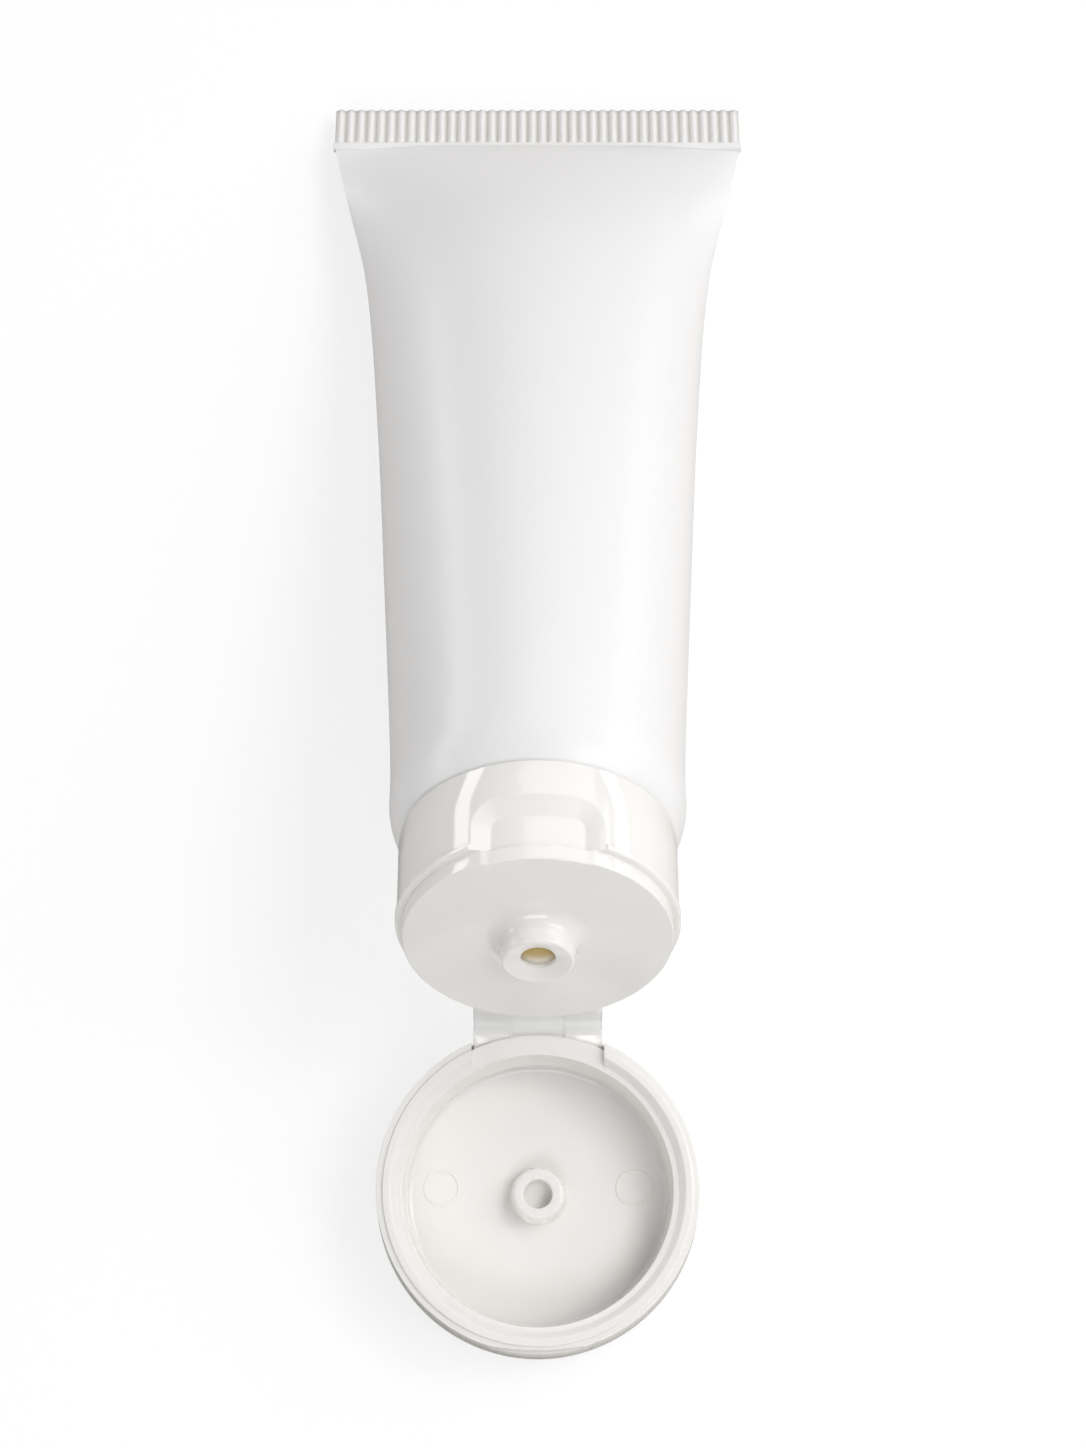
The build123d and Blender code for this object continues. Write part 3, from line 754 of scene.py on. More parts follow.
def cap_outline(cap, sleeve):
    """The cap's outline, from the nozzle's orifice over the deck and skirt and back under the deck."""
    hole, foot, stem = cap.orifice / 2, cap.foot_diameter / 2, cap.stem_diameter / 2
    skirt, deck, band = cap.skirt_diameter / 2, cap.skirt_diameter / 2 - cap.ledge, cap.band_height
    flare, lip = foot - stem, skirt + cap.lip_rise
    inner = skirt - cap.skirt_wall
    centre, seat = sleeve.tube_diameter / 2 - sleeve.edge_radius, sleeve.edge_radius + cap.film_gap
    under = cap.deck_thickness

    def film_height(radius):
        return sleeve.start - math.sqrt(seat**2 - (radius - centre) ** 2)

    recess_top = band + cap.recess_height + cap.recess_bevel + FINE_ROWS_MARGIN
    wall_low = band + cap.lip_height + cap.lip_rise
    wall = [(skirt, wall_low + (recess_top - wall_low) * i / WALL_ROWS) for i in range(1, WALL_ROWS + 1)]
    seat_middle = (skirt + inner) / 2
    corners = [
        (hole, under),
        (hole, cap.funnel_depth - cap.nozzle_height, CAP_ROUNDS["orifice"]),
        (cap.tip_diameter / 2, -cap.nozzle_height, CAP_ROUNDS["tip"]),
        (stem, -flare),
    ]
    corners += [
        (foot - flare * math.cos(turn), flare * (math.sin(turn) - 1))
        for turn in (math.pi / 2 * i / FLARE_STEPS for i in range(1, FLARE_STEPS))
    ]
    corners += [
        (foot, 0),
        (deck, 0, CAP_ROUNDS["deck"]),
        (deck, band - BAND_RING),
        (deck, band),
        (lip, band, CAP_ROUNDS["lip foot"]),
        (lip, band + cap.lip_height, CAP_ROUNDS["lip top"]),
        (skirt, wall_low),
        *wall,
        (skirt, film_height(skirt), CAP_ROUNDS["film edge"]),
        (seat_middle, film_height(seat_middle)),
        (inner, film_height(inner)),
        (inner, under, CAP_ROUNDS["skirt root"]),
        (cap.collar_outer / 2, under, CAP_ROUNDS["collar root"]),
        (cap.collar_outer / 2, under + cap.collar_length, CAP_ROUNDS["collar end"]),
        (cap.collar_inner / 2, under + cap.collar_length, CAP_ROUNDS["collar end"]),
        (cap.collar_inner / 2, under),
    ]
    return rounded(corners)


def lid_outline(lid):
    """The shut lid's outline, from its flat end over the rim to the plug's hole."""
    rim, step = lid.rim_height, lid.rim_height - lid.rim_step
    return rounded([
        (0, -lid.end_depth),
        (lid.end_diameter / 2 - 2 * LID_ROUNDS["end"], -lid.end_depth),
        (lid.end_diameter / 2, -lid.end_depth, LID_ROUNDS["end"]),
        (lid.band_diameter / 2, step, LID_ROUNDS["step"]),
        (lid.rim_diameter / 2, step, LID_ROUNDS["rim foot"]),
        (lid.rim_diameter / 2, rim, LID_ROUNDS["rim"]),
        (lid.mouth_diameter / 2, rim, LID_ROUNDS["mouth"]),
        (lid.socket_diameter / 2, lid.seat_height, LID_ROUNDS["socket"]),
        (lid.seat_diameter / 2, lid.seat_height, LID_ROUNDS["seat"]),
        (lid.floor_diameter / 2, -lid.floor_depth, LID_ROUNDS["floor"]),
        (lid.floor_diameter / 2 - FAR_PAST, -lid.floor_depth),
        (lid.plug_root / 2 + FAR_PAST, -lid.floor_depth),
        (lid.plug_root / 2, -lid.floor_depth, LID_ROUNDS["plug root"]),
        (lid.plug_diameter / 2, -lid.plug_depth, LID_ROUNDS["plug tip"]),
        (lid.plug_bore / 2, -lid.plug_depth, LID_ROUNDS["bore"]),
        (lid.plug_bore / 2, -lid.plug_depth - lid.bore_depth, LID_ROUNDS["bore"]),
        (0, -lid.plug_depth - lid.bore_depth),
    ])


def lid_place():
    """The lid's place in the tube's frame: shut, then turned about the hinge to where it rests open."""
    lid = bpy.context.scene.lid_sizes
    hinge = Matrix.Translation((0, lid.hinge_offset, lid.hinge_height))
    opening = math.radians(-HINGE["range_deg"][0])
    return hinge @ Matrix.Rotation(opening, 4, "X") @ hinge.inverted()


def lid_mouldings(lid):
    """The shut lid as one mesh, with its notch and thumb scoop."""
    band, rim, high = lid.band_diameter / 2, lid.rim_diameter / 2, lid.rim_height + FAR_PAST
    width = lid.hinge_width + 2 * lid.side_gap
    top, low = lid.hinge_height - lid.strap_gap, lid.hinge_height - lid.lid_leaf
    notch = box(width, 0, 2 * band, top, high, "notch_over")
    beside = box(width, 0, 2 * band, low, top, "notch_band")
    core = turned(
        [Vector(spot) for spot in ((0, low - FAR_PAST), (rim, low - FAR_PAST), (rim, rim), (0, rim))],
        even_angles(), "notch_core",
    )
    beside = combined(beside, [core], "DIFFERENCE")
    foot, head = -lid.end_depth - PAST, high + PAST
    keep = turned(
        [Vector(spot) for spot in ((0, foot), (lid.scoop_radius, foot), (lid.scoop_radius, head), (0, head))],
        even_angles(720), "scoop_keep",
    )
    keep.transform(Matrix.Translation((0, lid.scoop_radius - band + lid.scoop_bite, 0)))
    scoop = box(4 * band, -2 * band, 0, lid.rim_height - lid.scoop_depth, high, "scoop")
    scoop = combined(scoop, [keep], "DIFFERENCE")
    dish = turned(lid_outline(lid), even_angles(), "lid_dish")
    return combined(dish, [notch, beside, scoop], "DIFFERENCE", soft=LID_EDGE)


def pin_mark(lid, side):
    """One thin raised ring on the lid's floor."""
    outer, inner = lid.mark_diameter / 2, lid.mark_diameter / 2 - lid.mark_line
    low, high = -lid.floor_depth - MARK_SUNK, lid.mark_rise - lid.floor_depth
    ring = turned(rounded([
        (inner, low), (outer, low), (outer, high, LID_ROUNDS["mark"]), (inner, high, LID_ROUNDS["mark"]),
    ]), even_angles(96), "pin_mark")
    ring.transform(Matrix.Translation((side * lid.mark_offset, lid.mark_shift, 0)))
    return ring


def lid_leaf_mesh(lid):
    """The half of the hinge panel that is moulded on the lid."""
    rim, end, top = lid.rim_diameter / 2, lid.hinge_offset - lid.strap_gap, lid.hinge_height - lid.strap_gap
    start = math.sqrt(rim**2 - (lid.hinge_width / 2) ** 2) - mm(0.5)
    leaf = bar([
        (start, top - LID_LEAF_SLOPE * (end - start)), (end, top),
        (end, lid.hinge_height - lid.lid_leaf), (start, lid.hinge_height - lid.lid_gusset),
    ], lid.hinge_width, "lid_leaf")
    pocket = box(
        lid.hinge_width - 2 * lid.strap_width, rim - PAST, lid.hinge_offset + PAST, top - lid.pocket_depth,
        lid.hinge_height + FAR_PAST, "lid_pocket",
    )
    return combined(leaf, [pocket], "DIFFERENCE", soft=LEAF_EDGE)


def base_leaf_mesh(lid, cap):
    """The half of the hinge panel that is moulded on the skirt."""
    skirt, end = cap.skirt_diameter / 2, lid.hinge_offset - lid.strap_gap
    start = math.sqrt(skirt**2 - (lid.hinge_width / 2) ** 2) - mm(0.6)
    low = lid.hinge_height + lid.strap_gap
    leaf = bar([
        (start, low + BASE_LEAF_SLOPE * (end - start)), (end, low),
        (end, lid.hinge_height + lid.base_leaf), (start, lid.hinge_height + lid.base_gusset),
    ], lid.hinge_width, "base_leaf")
    pocket = box(
        lid.hinge_width - 2 * lid.strap_width, skirt, lid.hinge_offset + PAST, lid.hinge_height - PAST,
        low + lid.pocket_depth, "base_pocket",
    )
    return combined(leaf, [pocket], "DIFFERENCE", soft=LEAF_EDGE)


# The film of the hinge
FILM_COLUMNS = 62
FILM_ROWS = 14
# How far the film lies on each leaf, how far it stands off them, and how its middle is set back into the pocket
FILM_ON_BASE = mm(2.6)
FILM_ON_LID = mm(2.0)
FILM_LIFT = mm(0.02)
FILM_SIDE_GAP = mm(0.05)
POCKET_RUN = mm(0.3)
POCKET_SET_BACK = (mm(0.42), mm(0.1))


def hinge_film_mesh(lid):
    """The thin film between the leaves with the lid open, waisted and set back in its middle."""
    place = lid_place()
    end, shift = lid.hinge_offset - lid.strap_gap, lid.strap_gap
    upper_far = Vector((
        0, end - FILM_ON_BASE, lid.hinge_height + shift + BASE_LEAF_SLOPE * FILM_ON_BASE + FILM_LIFT,
    ))
    upper = Vector((0, end, lid.hinge_height + shift))
    lower = place @ Vector((0, end, lid.hinge_height - shift))
    lower_far = place @ Vector((
        0, end - FILM_ON_LID, lid.hinge_height - shift - LID_LEAF_SLOPE * FILM_ON_LID - FILM_LIFT,
    ))
    half = lid.hinge_width / 2 - FILM_SIDE_GAP
    middle = lid.hinge_width / 2 - lid.strap_width
    shape = bmesh.new()
    rows = []
    for j in range(FILM_ROWS + 1):
        t = j / FILM_ROWS
        spot = (
            upper_far * (1 - t) ** 3 + upper * 3 * t * (1 - t) ** 2 + lower * 3 * t**2 * (1 - t) + lower_far * t**3
        )
        row = []
        for i in range(FILM_COLUMNS + 1):
            x = half * (2 * i / FILM_COLUMNS - 1)
            into = min(max((middle - abs(x)) / POCKET_RUN, 0), 1)
            row.append(shape.verts.new(spot + Vector((x, into * POCKET_SET_BACK[0], into * POCKET_SET_BACK[1]))))
        rows.append(row)
    for low, high in zip(rows, rows[1:]):
        for i in range(FILM_COLUMNS):
            shape.faces.new((low[i], low[i + 1], high[i + 1], high[i]))
    bmesh.ops.solidify(shape, geom=shape.faces[:], thickness=lid.film)
    bmesh.ops.recalc_face_normals(shape, faces=shape.faces)
    return to_mesh(shape, "hinge_film")


# Finishes
# Where the colour comes out of a Mix node
COLOUR_RESULT = 2


def polyethylene_film():
    """Co-extruded polyethylene film: pearly white, satin, with a fine grain from the rollers."""
    material, tree, out = new_material("satin_polyethylene_film")
    where = add_node(tree, "ShaderNodeTexCoord").outputs["Object"]
    # roller grain of about 0.5 mm, and soft unevenness of about 9 mm
    grain = add_node(tree, "ShaderNodeTexNoise", inputs={"Vector": where, "Scale": 1 / mm(0.5), "Detail": 2.0})
    sway = add_node(tree, "ShaderNodeTexNoise", inputs={"Vector": where, "Scale": 1 / mm(9), "Detail": 1.0})
    base = bpy.context.scene.finishes.film
    tone = add_node(tree, "ShaderNodeMix", {"data_type": "RGBA"}, {
        "Factor": grain.outputs["Fac"], "A": (*[c * 0.985 for c in base], 1),
        "B": (*[min(c * 1.01, 1) for c in base], 1),
    })
    # the valleys of the seal are painted a warmer grey: painted shade between the ribs, where the film is also
    # pressed thinner
    valley = add_node(tree, "ShaderNodeAttribute", {"attribute_name": "valley"}).outputs["Fac"]
    pressed = add_node(tree, "ShaderNodeMix", {"data_type": "RGBA"}, {
        "Factor": valley, "A": tone.outputs[COLOUR_RESULT], "B": (*linear("#D2CEC9"), 1),
    })
    rough = add_node(tree, "ShaderNodeMapRange", inputs={
        "Value": sway.outputs["Fac"], "To Min": 0.32, "To Max": 0.4,
    })
    fine = add_node(tree, "ShaderNodeBump", inputs={
        "Height": grain.outputs["Fac"], "Strength": 0.12, "Distance": mm(0.05),
    })
    broad = add_node(tree, "ShaderNodeBump", inputs={
        "Height": sway.outputs["Fac"], "Strength": 0.25, "Distance": mm(0.4), "Normal": fine.outputs[0],
    })
    shader = add_node(tree, "ShaderNodeBsdfPrincipled", inputs={
        "Base Color": pressed.outputs[COLOUR_RESULT], "Roughness": rough.outputs[0], "IOR": 1.51,
        "Normal": broad.outputs[0],
        "Coat Weight": 0.35, "Coat Roughness": 0.28, "Coat IOR": 1.5,
    })
    tree.links.new(shader.outputs[0], out.inputs["Surface"])
    return material


def polypropylene():
    """Moulded polypropylene: glossy white, with the mould's faint unevenness."""
    material, tree, out = new_material("glossy_moulded_polypropylene")
    where = add_node(tree, "ShaderNodeTexCoord").outputs["Object"]
    # faint flow unevenness of about 7 mm, and polish marks of about 0.8 mm
    flow = add_node(tree, "ShaderNodeTexNoise", inputs={"Vector": where, "Scale": 1 / mm(7), "Detail": 1.0})
    polish = add_node(tree, "ShaderNodeTexNoise", inputs={"Vector": where, "Scale": 1 / mm(0.8), "Detail": 2.0})
    base = bpy.context.scene.finishes.cap
    tone = add_node(tree, "ShaderNodeMix", {"data_type": "RGBA"}, {
        "Factor": flow.outputs["Fac"], "A": (*[c * 0.985 for c in base], 1), "B": (*base, 1),
    })
    rough = add_node(tree, "ShaderNodeMapRange", inputs={
        "Value": polish.outputs["Fac"], "To Min": 0.07, "To Max": 0.11,
    })
    soft = add_node(tree, "ShaderNodeBump", inputs={
        "Height": flow.outputs["Fac"], "Strength": 0.15, "Distance": mm(0.15),
    })
    shader = add_node(tree, "ShaderNodeBsdfPrincipled", inputs={
        "Base Color": tone.outputs[COLOUR_RESULT], "Roughness": rough.outputs[0], "IOR": 1.49,
        "Normal": soft.outputs[0],
        "Coat Weight": 0.6, "Coat Roughness": 0.04, "Coat IOR": 1.5,
    })
    tree.links.new(shader.outputs[0], out.inputs["Surface"])
    return material


def hinge_polypropylene():
    """The hinge's polypropylene: stretched thin and white, so that light from behind shows in it, with a painted
    glow that lightens its shaded crease.
    """
    material, tree, out = new_material("stretched_polypropylene_with_painted_glow")
    where = add_node(tree, "ShaderNodeTexCoord").outputs["Object"]
    # creases of about 1.5 mm across the bend
    crease = add_node(tree, "ShaderNodeTexNoise", inputs={"Vector": where, "Scale": 1 / mm(1.5), "Detail": 1.0})
    soft = add_node(tree, "ShaderNodeBump", inputs={
        "Height": crease.outputs["Fac"], "Strength": 0.1, "Distance": mm(0.1),
    })
    base = (*linear("#FAFAFA"), 1)
    skin = add_node(tree, "ShaderNodeBsdfPrincipled", inputs={
        "Base Color": base, "Roughness": 0.25, "IOR": 1.49, "Normal": soft.outputs[0],
        # painted glow: the film lights itself a little, standing for light carried in from its ends and lifting
        # the shade in the crease
        "Emission Color": base, "Emission Strength": 0.1,
    })
    through = add_node(tree, "ShaderNodeBsdfTranslucent", inputs={"Color": base, "Normal": soft.outputs[0]})
    mixed = add_node(tree, "ShaderNodeMixShader", inputs={0: 0.3, 1: skin.outputs[0], 2: through.outputs[0]})
    tree.links.new(mixed.outputs[0], out.inputs["Surface"])
    return material


def cream_with_painted_light():
    """Thick tan cream, painted pale on the lit side of the nozzle's hole and left tan on its shaded side."""
    material, tree, out = new_material("cream_with_painted_light")
    where = add_node(tree, "ShaderNodeTexCoord").outputs["Object"]
    base = bpy.context.scene.finishes.cream
    hole = bpy.context.scene.cap_sizes.orifice / 2
    middle = tube_place().translation.z
    height = add_node(tree, "ShaderNodeSeparateXYZ", inputs={0: where}).outputs[2]
    # painted light: lower down in the hole the cream is painted pale, on the lit side, and higher up it stays tan,
    # on the shaded side
    thin = add_node(tree, "ShaderNodeMapRange", {"interpolation_type": "SMOOTHSTEP"}, {
        "Value": height, "From Min": middle + 0.6 * hole, "From Max": middle - 0.7 * hole,
    })
    tone = add_node(tree, "ShaderNodeMix", {"data_type": "RGBA"}, {
        "Factor": thin.outputs[0], "A": (*base, 1), "B": (*linear("#F1EDE4"), 1),
    })
    shader = add_node(tree, "ShaderNodeBsdfPrincipled", inputs={
        "Base Color": tone.outputs[COLOUR_RESULT], "Roughness": 0.3, "IOR": 1.45,
    })
    tree.links.new(shader.outputs[0], out.inputs["Surface"])
    return material


def plain_plastic(name, base, roughness, patch_size):
    """A plain moulded plastic, for the neck that is hidden in the cap: milky, with faint patches."""
    material, tree, out = new_material(name)
    where = add_node(tree, "ShaderNodeTexCoord").outputs["Object"]
    patches = add_node(tree, "ShaderNodeTexNoise", inputs={
        "Vector": where, "Scale": 1 / mm(patch_size), "Detail": 2.0,
    })
    tone = add_node(tree, "ShaderNodeMix", {"data_type": "RGBA"}, {
        "Factor": patches.outputs["Fac"], "A": (*[c * 0.93 for c in base], 1), "B": (*base, 1),
    })
    shader = add_node(tree, "ShaderNodeBsdfPrincipled", inputs={
        "Base Color": tone.outputs[COLOUR_RESULT], "Roughness": roughness, "IOR": 1.5,
    })
    tree.links.new(shader.outputs[0], out.inputs["Surface"])
    return material


def studio_floor():
    """Painted studio floor, which the camera sees near white and which keeps the shadow."""
    material, tree, out = new_material("painted_studio_floor")
    path = add_node(tree, "ShaderNodeLightPath").outputs
    base = bpy.context.scene.finishes.floor
    paint = add_node(tree, "ShaderNodeBsdfDiffuse", inputs={"Color": (*base, 1)})
    # what the camera sees is part lit paint and part its own glow, so the shadow is soft on white
    glow = add_node(tree, "ShaderNodeEmission", inputs={"Color": (*base, 1), "Strength": 1.2})
    lifted = add_node(tree, "ShaderNodeMixShader", inputs={0: 0.68, 1: paint.outputs[0], 2: glow.outputs[0]})
    seen = add_node(tree, "ShaderNodeMixShader", inputs={
        0: path["Is Camera Ray"], 1: paint.outputs[0], 2: lifted.outputs[0],
    })
    # reflections see it darker, as if the floor ended there, which draws the edges of white on white
    dim = add_node(tree, "ShaderNodeBsdfDiffuse", inputs={"Color": (*linear("#C6C3BE"), 1)})
    mixed = add_node(tree, "ShaderNodeMixShader", inputs={
        0: path["Is Glossy Ray"], 1: seen.outputs[0], 2: dim.outputs[0],
    })
    tree.links.new(mixed.outputs[0], out.inputs["Surface"])
    return material


# Filling
CREAM_SIDES = 96
CREAM_RINGS = 24
# Shares of the sleeve's length: how far up the filling goes, and where it starts to close, and how fast
CREAM_TOP = 0.95
CREAM_CLOSING = 0.85
CREAM_CLOSING_RATE = 4


def cream_rings(sizes):
    """The filling's rings from the neck to below the fold, each as (half width, half depth, height)."""
    cap = bpy.context.scene.cap_sizes
    radius, shell = sizes.tube_diameter / 2, sizes.film_wall + cap.shoulder_wall + cap.cream_gap
    foot = sizes.start - sizes.turned_in_depth
    neck, rim = cap.neck_bore / 2 - cap.cream_gap, radius - cap.foot_inset - shell
    hole, tip = cap.orifice / 2 - HAIR, cap.funnel_depth - cap.nozzle_height + cap.cream_tip
    rings = [
        (hole * 0.5, hole * 0.5, tip - mm(0.12)),
        (hole, hole, tip),
        (hole, hole, cap.cream_level),
        (neck, neck, cap.cream_level),
        (neck, neck, foot - mm(1.5)),
        (rim, rim, foot + cap.shoulder_wall + cap.cream_gap),
        (radius - shell, radius - shell, sizes.start - mm(0.5)),
    ]
    for ring in range(1, CREAM_RINGS):
        share = CREAM_TOP * ring / (CREAM_RINGS - 1)
        width = smooth_share(share, LENGTH_SHARES, WIDTH_SHARES)
        inset = shell + share * mm(1)
        rings.append((
            radius * width - inset,
            (radius * depth_share(width) - inset) * (1 - max(share - CREAM_CLOSING, 0) * CREAM_CLOSING_RATE),
            sizes.start + share * sizes.squeezed_length,
        ))
    return rings


# Operators
class TUBE_OT_sleeve(bpy.types.Operator):
    """Makes the squeezed film sleeve"""

    bl_idname = "tube.sleeve"
    bl_label = "Film sleeve"

    def execute(self, context):
        sizes = context.scene.sleeve_sizes
        material = polyethylene_film()
        mesh = made_by(sleeve_tree(material), {
            "Tube Radius": sizes.tube_diameter / 2 - FILM_SHY, "Film Wall": sizes.film_wall, "Start": sizes.start,
            "Squeezed Length": sizes.squeezed_length, "Edge Radius": sizes.edge_radius,
            "Turned-in Depth": sizes.turned_in_depth, "Half Fold": sizes.fold_thickness / 2 - FOLD_TUCK,
            "Pinch": PINCH, "End Share": END_SHARE, "Outer Share": OUTER_SHARE, "Points Around": POINTS_AROUND,
            "Rings": SLEEVE_RINGS,
        }, "film_sleeve")
        piece = finish_piece(mesh, "film_sleeve", tube_place(), "tube")
        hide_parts("tube_sleeve")
        return {"FINISHED"}


class TUBE_OT_seal(bpy.types.Operator):
    """Makes the ribbed seal and the fold below it"""

    bl_idname = "tube.seal"
    bl_label = "Ribbed seal"

    def execute(self, context):
        sizes = context.scene.sleeve_sizes
        material = bpy.data.materials["satin_polyethylene_film"]
        mesh = made_by(seal_tree(material), {
            "Seal Width": math.pi * sizes.tube_diameter / 2, "Seal Thickness": sizes.seal_thickness,
            "Rib Length": sizes.rib_length, "Rib Depth": sizes.rib_depth, "Ribs": sizes.rib_count,
            "Points Per Rib": POINTS_PER_RIB, "Seal Start": sizes.start + sizes.squeezed_length,
            "Fold Height": sizes.fold_height, "Fold Thickness": sizes.fold_thickness,
            "Fold Overhang": sizes.fold_overhang,
        }, "ribbed_seal")
        finish_piece(mesh, "ribbed_seal", tube_place(), "tube")
        return {"FINISHED"}


class TUBE_OT_cream(bpy.types.Operator):
    """Makes the filling, which stands in the neck and follows the film"""

    bl_idname = "tube.cream"
    bl_label = "Cream"

    def execute(self, context):
        sizes = context.scene.sleeve_sizes
        rings = cream_rings(sizes)
        shape = bmesh.new()
        loops = [
            [
                shape.verts.new((
                    half_width * math.cos(2 * math.pi * i / CREAM_SIDES),
                    half_depth * math.sin(2 * math.pi * i / CREAM_SIDES),
                    height,
                ))
                for i in range(CREAM_SIDES)
            ]
            for half_width, half_depth, height in rings
        ]
        for low, high in zip(loops, loops[1:]):
            for i in range(CREAM_SIDES):
                k = (i + 1) % CREAM_SIDES
                shape.faces.new((low[i], low[k], high[k], high[i]))
        shape.faces.new(list(reversed(loops[0])))
        shape.faces.new(loops[-1])
        for face in shape.faces:
            face.smooth = len(face.verts) == 4
        mesh = to_mesh(shape, "cream")
        mesh.materials.append(cream_with_painted_light())
        piece = finish_piece(mesh, "cream", tube_place(), "tube")
        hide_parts("cream_fill")
        return {"FINISHED"}


class TUBE_OT_cap(bpy.types.Operator):
    """Makes the cap with its nozzle, finger recess and half of the hinge panel"""

    bl_idname = "tube.cap"
    bl_label = "Cap"

    def execute(self, context):
        scene = context.scene
        plastic = polypropylene()
        outline = cap_outline(scene.cap_sizes, scene.sleeve_sizes)
        shell = turned(outline, front_fine_angles(), "cap", recess_reach(scene.cap_sizes))
        leaf = base_leaf_mesh(scene.lid_sizes, scene.cap_sizes)
        for mesh, name in ((shell, "cap"), (leaf, "cap_hinge_leaf")):
            dressed(softly_shaded(mesh), plastic)
            piece = finish_piece(mesh, name, tube_place(), "tube")
            if mesh is shell:
                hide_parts("cap_base")
        for slot in frame["nodes"]["tube_shoulder"].material_slots:
            slot.material = plain_plastic("natural_polyethylene", scene.finishes.shoulder, 0.4, 3)
        return {"FINISHED"}


class TUBE_OT_lid(bpy.types.Operator):
    """Makes the open lid with its plug, pin marks and half of the hinge panel"""

    bl_idname = "tube.lid"
    bl_label = "Lid"

    def execute(self, context):
        lid = context.scene.lid_sizes
        plastic = bpy.data.materials["glossy_moulded_polypropylene"]
        place = tube_place() @ lid_place()
        dish = lid_mouldings(lid)
        for mesh, name in (
            (dish, "lid"), (lid_leaf_mesh(lid), "lid_hinge_leaf"),
            (pin_mark(lid, -1), "pin_mark_left"), (pin_mark(lid, 1), "pin_mark_right"),
        ):
            dressed(softly_shaded(mesh), plastic)
            piece = finish_piece(mesh, name, place, "lid")
            if mesh is dish:
                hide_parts("flip_lid")
        return {"FINISHED"}


class TUBE_OT_hinge_film(bpy.types.Operator):
    """Makes the thin film that joins the cap to its lid, shaped as it lies with the lid open"""

    bl_idname = "tube.hinge_film"
    bl_label = "Hinge film"

    def execute(self, context):
        lid = context.scene.lid_sizes
        mesh = dressed(softly_shaded(hinge_film_mesh(lid)), hinge_polypropylene())
        mesh.transform(tube_place())
        piece = bpy.data.objects.new("hinge_film", mesh)
        context.scene.collection.objects.link(piece)
        end = lid.hinge_offset - lid.strap_gap
        start = tube_place() @ Vector((0, end, lid.hinge_height + lid.strap_gap))
        stop = tube_place() @ lid_place() @ Vector((0, end, lid.hinge_height - lid.strap_gap))
        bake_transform(piece)
        return {"FINISHED"}


class TUBE_OT_stage(bpy.types.Operator):
    """Makes the floor, the lamps, the world and the camera"""

    bl_idname = "tube.stage"
    bl_label = "Studio"

    def execute(self, context):
        scene = context.scene
        make_floor()
        make_world(scene)
        for name, place, size, power, mirrored in LAMPS:
            make_lamp(name, place, size, power, mirrored)
        make_camera(scene)
        scene.view_settings.view_transform = "Standard"
        return {"FINISHED"}


# Stage
# Each softbox's name, place and size in metres, power in watts, and whether gloss mirrors it
LAMPS = (
    ("softbox_left", (-0.7, 0.3, 0.22), (0.16, 1.1), 1.6, True),
    ("softbox_over", (0.34, -0.06, 0.72), (0.24, 0.8), 2.5, False),
    ("softbox_right", (0.66, 0.16, 0.4), (0.2, 0.9), 1.2, True),
    ("strip_low_right", (0.72, 0.55, 0.12), (0.16, 0.6), 0.6, True),
    ("softbox_front", (-0.05, -0.62, 0.5), (0.5, 0.26), 1.25, True),
    ("softbox_back", (0.3, 1.0, 0.72), (1.1, 0.7), 2.2, True),
    ("spark_right", (0.56, -0.07, 0.7), (0.3, 0.2), 0.8, True),
)
AIM = (0, 0, 0.02)
FLOOR_SIDE = 6.0


def make_floor():
    """A large plain floor that the tube lies on."""
    mesh = bpy.data.meshes.new("floor")
    half = FLOOR_SIDE / 2
    mesh.from_pydata([(-half, -half, 0), (half, -half, 0), (half, half, 0), (-half, half, 0)], [], [(0, 1, 2, 3)])
    mesh.materials.append(studio_floor())
    floor = bpy.data.objects.new("floor", mesh)
    bpy.context.scene.collection.objects.link(floor)


def make_world(scene):
    """A white surround for what the camera sees, and a softer one for the light."""
    world = bpy.data.worlds.new("white_studio")
    scene.world = world
    world.use_nodes = True
    tree = world.node_tree
    tree.nodes.clear()
    path = add_node(tree, "ShaderNodeLightPath").outputs
    direction = add_node(tree, "ShaderNodeTexCoord").outputs["Generated"]
    height = add_node(tree, "ShaderNodeSeparateXYZ", inputs={0: direction}).outputs[2]
    level = add_node(tree, "ShaderNodeMapRange", inputs={
        "Value": height, "From Min": 0.0, "From Max": 0.9, "To Min": 0.2, "To Max": 0.34,
    }).outputs[0]
    light = add_node(tree, "ShaderNodeBackground", inputs={"Color": (1, 1, 1, 1), "Strength": level})
    white = add_node(tree, "ShaderNodeBackground", inputs={"Color": (1, 1, 1, 1), "Strength": 1.0})
    mixed = add_node(tree, "ShaderNodeMixShader", inputs={
        0: path["Is Camera Ray"], 1: light.outputs[0], 2: white.outputs[0],
    })
    out = add_node(tree, "ShaderNodeOutputWorld")
    tree.links.new(mixed.outputs[0], out.inputs["Surface"])


def make_lamp(name, place, size, power, mirrored):
    """A rectangular softbox that runs along the tube and is aimed at it."""
    lamp = bpy.data.lights.new(name, "AREA")
    lamp.shape = "RECTANGLE"
    lamp.size, lamp.size_y = size
    lamp.energy = power
    back = (Vector(place) - Vector(AIM)).normalized()
    along = Vector((0, 1, 0))
    along = (along - back * along.dot(back)).normalized()
    turn = Matrix((along.cross(back), along, back)).transposed().to_4x4()
    turn.translation = place
    holder = bpy.data.objects.new(name, lamp)
    holder.matrix_world = turn
    holder.visible_camera = False
    holder.visible_glossy = mirrored
    bpy.context.scene.collection.objects.link(holder)


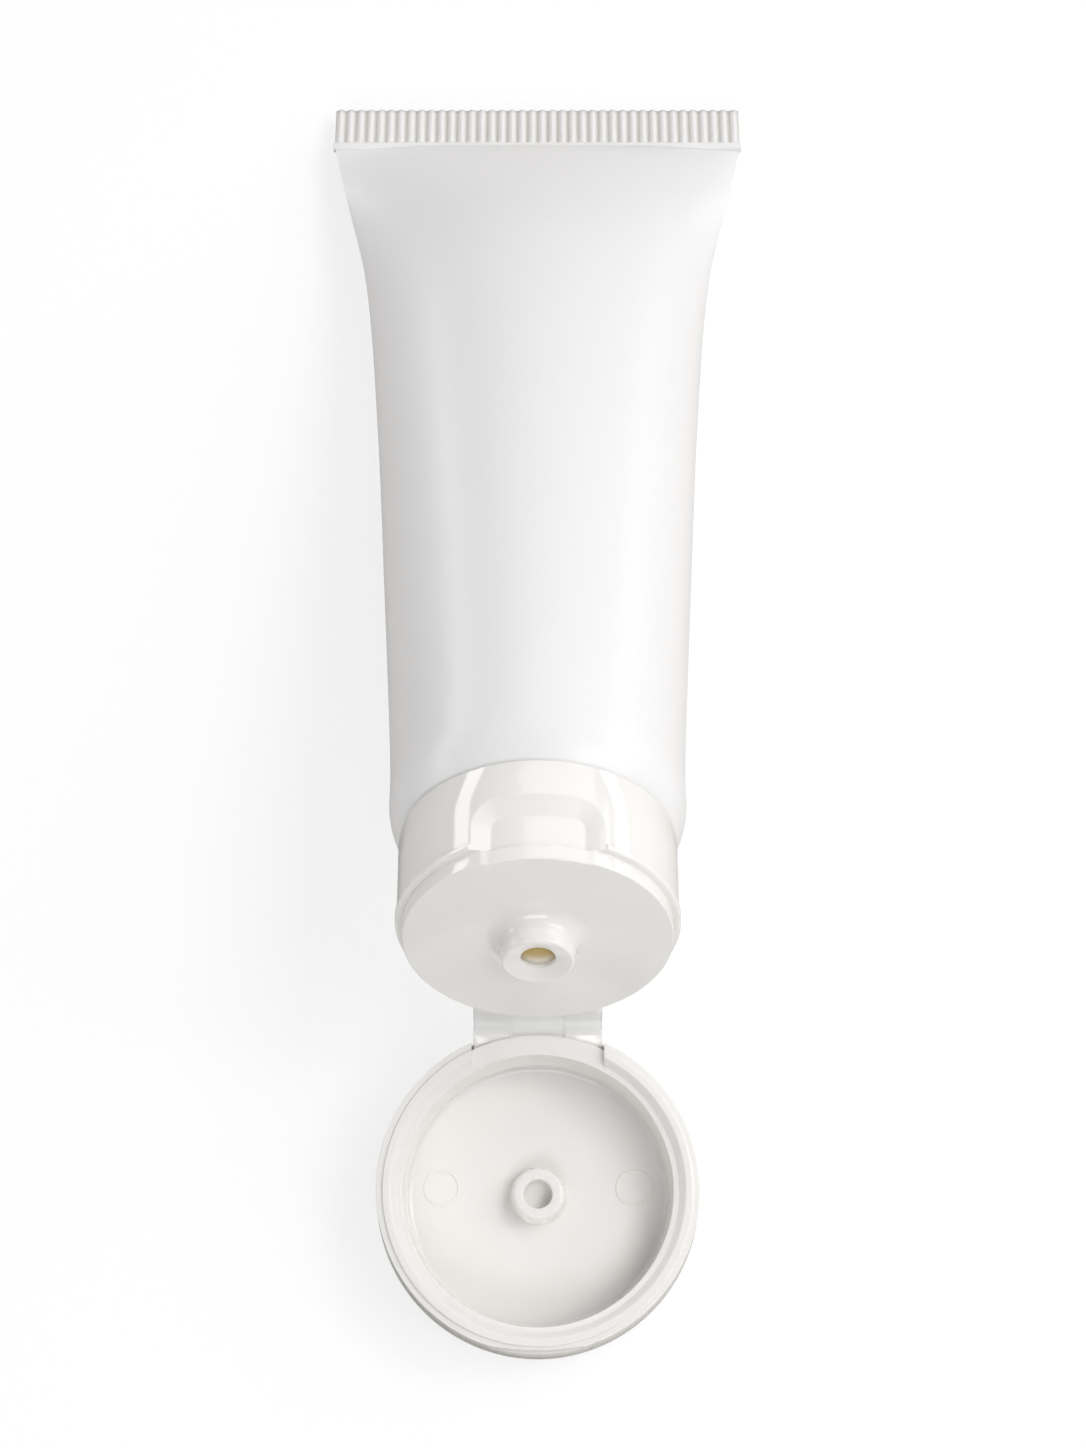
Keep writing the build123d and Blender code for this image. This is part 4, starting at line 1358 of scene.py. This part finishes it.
def make_camera(scene):
    """The camera at the photo's angle, placed from the tube's own frame."""
    stage = scene.stage_sizes
    place = tube_place()
    slant = stage.camera_slant
    to_camera = Vector((0, -math.cos(slant), -math.sin(slant)))
    forward, right = -to_camera, Vector((1, 0, 0))
    up = right.cross(forward)
    forward, up = (
        forward * math.cos(stage.aim_up) + up * math.sin(stage.aim_up),
        up * math.cos(stage.aim_up) - forward * math.sin(stage.aim_up),
    )
    forward, right = (
        forward * math.cos(stage.aim_right) + right * math.sin(stage.aim_right),
        right * math.cos(stage.aim_right) - forward * math.sin(stage.aim_right),
    )
    pose = Matrix((right, up, -forward)).transposed().to_4x4()
    pose.translation = to_camera * stage.camera_distance + Vector((stage.camera_shift, 0, 0))
    data = bpy.data.cameras.new("camera")
    data.sensor_width = SENSOR_LONG_SIDE
    data.lens = stage.focal_pixels * SENSOR_LONG_SIDE / PHOTO_LONG_SIDE
    data.clip_start, data.clip_end = 0.01, 20
    camera = bpy.data.objects.new("camera", data)
    scene.collection.objects.link(camera)
    camera.matrix_world = place @ pose
    scene.camera = camera


class TUBE_PT_panel(bpy.types.Panel):
    """The tube's sizes, finishes and steps"""

    bl_idname = "TUBE_PT_panel"
    bl_label = "Squeeze tube"
    bl_space_type = "VIEW_3D"
    bl_region_type = "UI"
    bl_category = "Squeeze tube"

    def draw(self, context):
        scene = context.scene
        for group in (scene.sleeve_sizes, scene.cap_sizes, scene.lid_sizes, scene.finishes, scene.stage_sizes):
            box = self.layout.box()
            for name in group.__annotations__:
                box.prop(group, name)
        for operator in OPERATORS:
            self.layout.operator(operator.bl_idname)


GROUPS = {
    "sleeve_sizes": SleeveSizes, "cap_sizes": CapSizes, "lid_sizes": LidSizes, "finishes": Finishes,
    "stage_sizes": StageSizes,
}
OPERATORS = (
    TUBE_OT_sleeve, TUBE_OT_seal, TUBE_OT_cream, TUBE_OT_cap, TUBE_OT_lid, TUBE_OT_hinge_film, TUBE_OT_stage,
)


def register():
    for name, group in GROUPS.items():
        bpy.utils.register_class(group)
        setattr(bpy.types.Scene, name, bpy.props.PointerProperty(type=group))
    for operator in OPERATORS:
        bpy.utils.register_class(operator)
    bpy.utils.register_class(TUBE_PT_panel)


def unregister():
    bpy.utils.unregister_class(TUBE_PT_panel)
    for operator in reversed(OPERATORS):
        bpy.utils.unregister_class(operator)
    for name, group in reversed(GROUPS.items()):
        delattr(bpy.types.Scene, name)
        bpy.utils.unregister_class(group)


def main():
    """Registers the add-on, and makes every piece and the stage."""
    register()
    bpy.ops.tube.sleeve()
    bpy.ops.tube.seal()
    bpy.ops.tube.cream()
    bpy.ops.tube.cap()
    bpy.ops.tube.lid()
    bpy.ops.tube.hinge_film()
    bpy.ops.tube.stage()


if __name__ == "__main__":
    main()
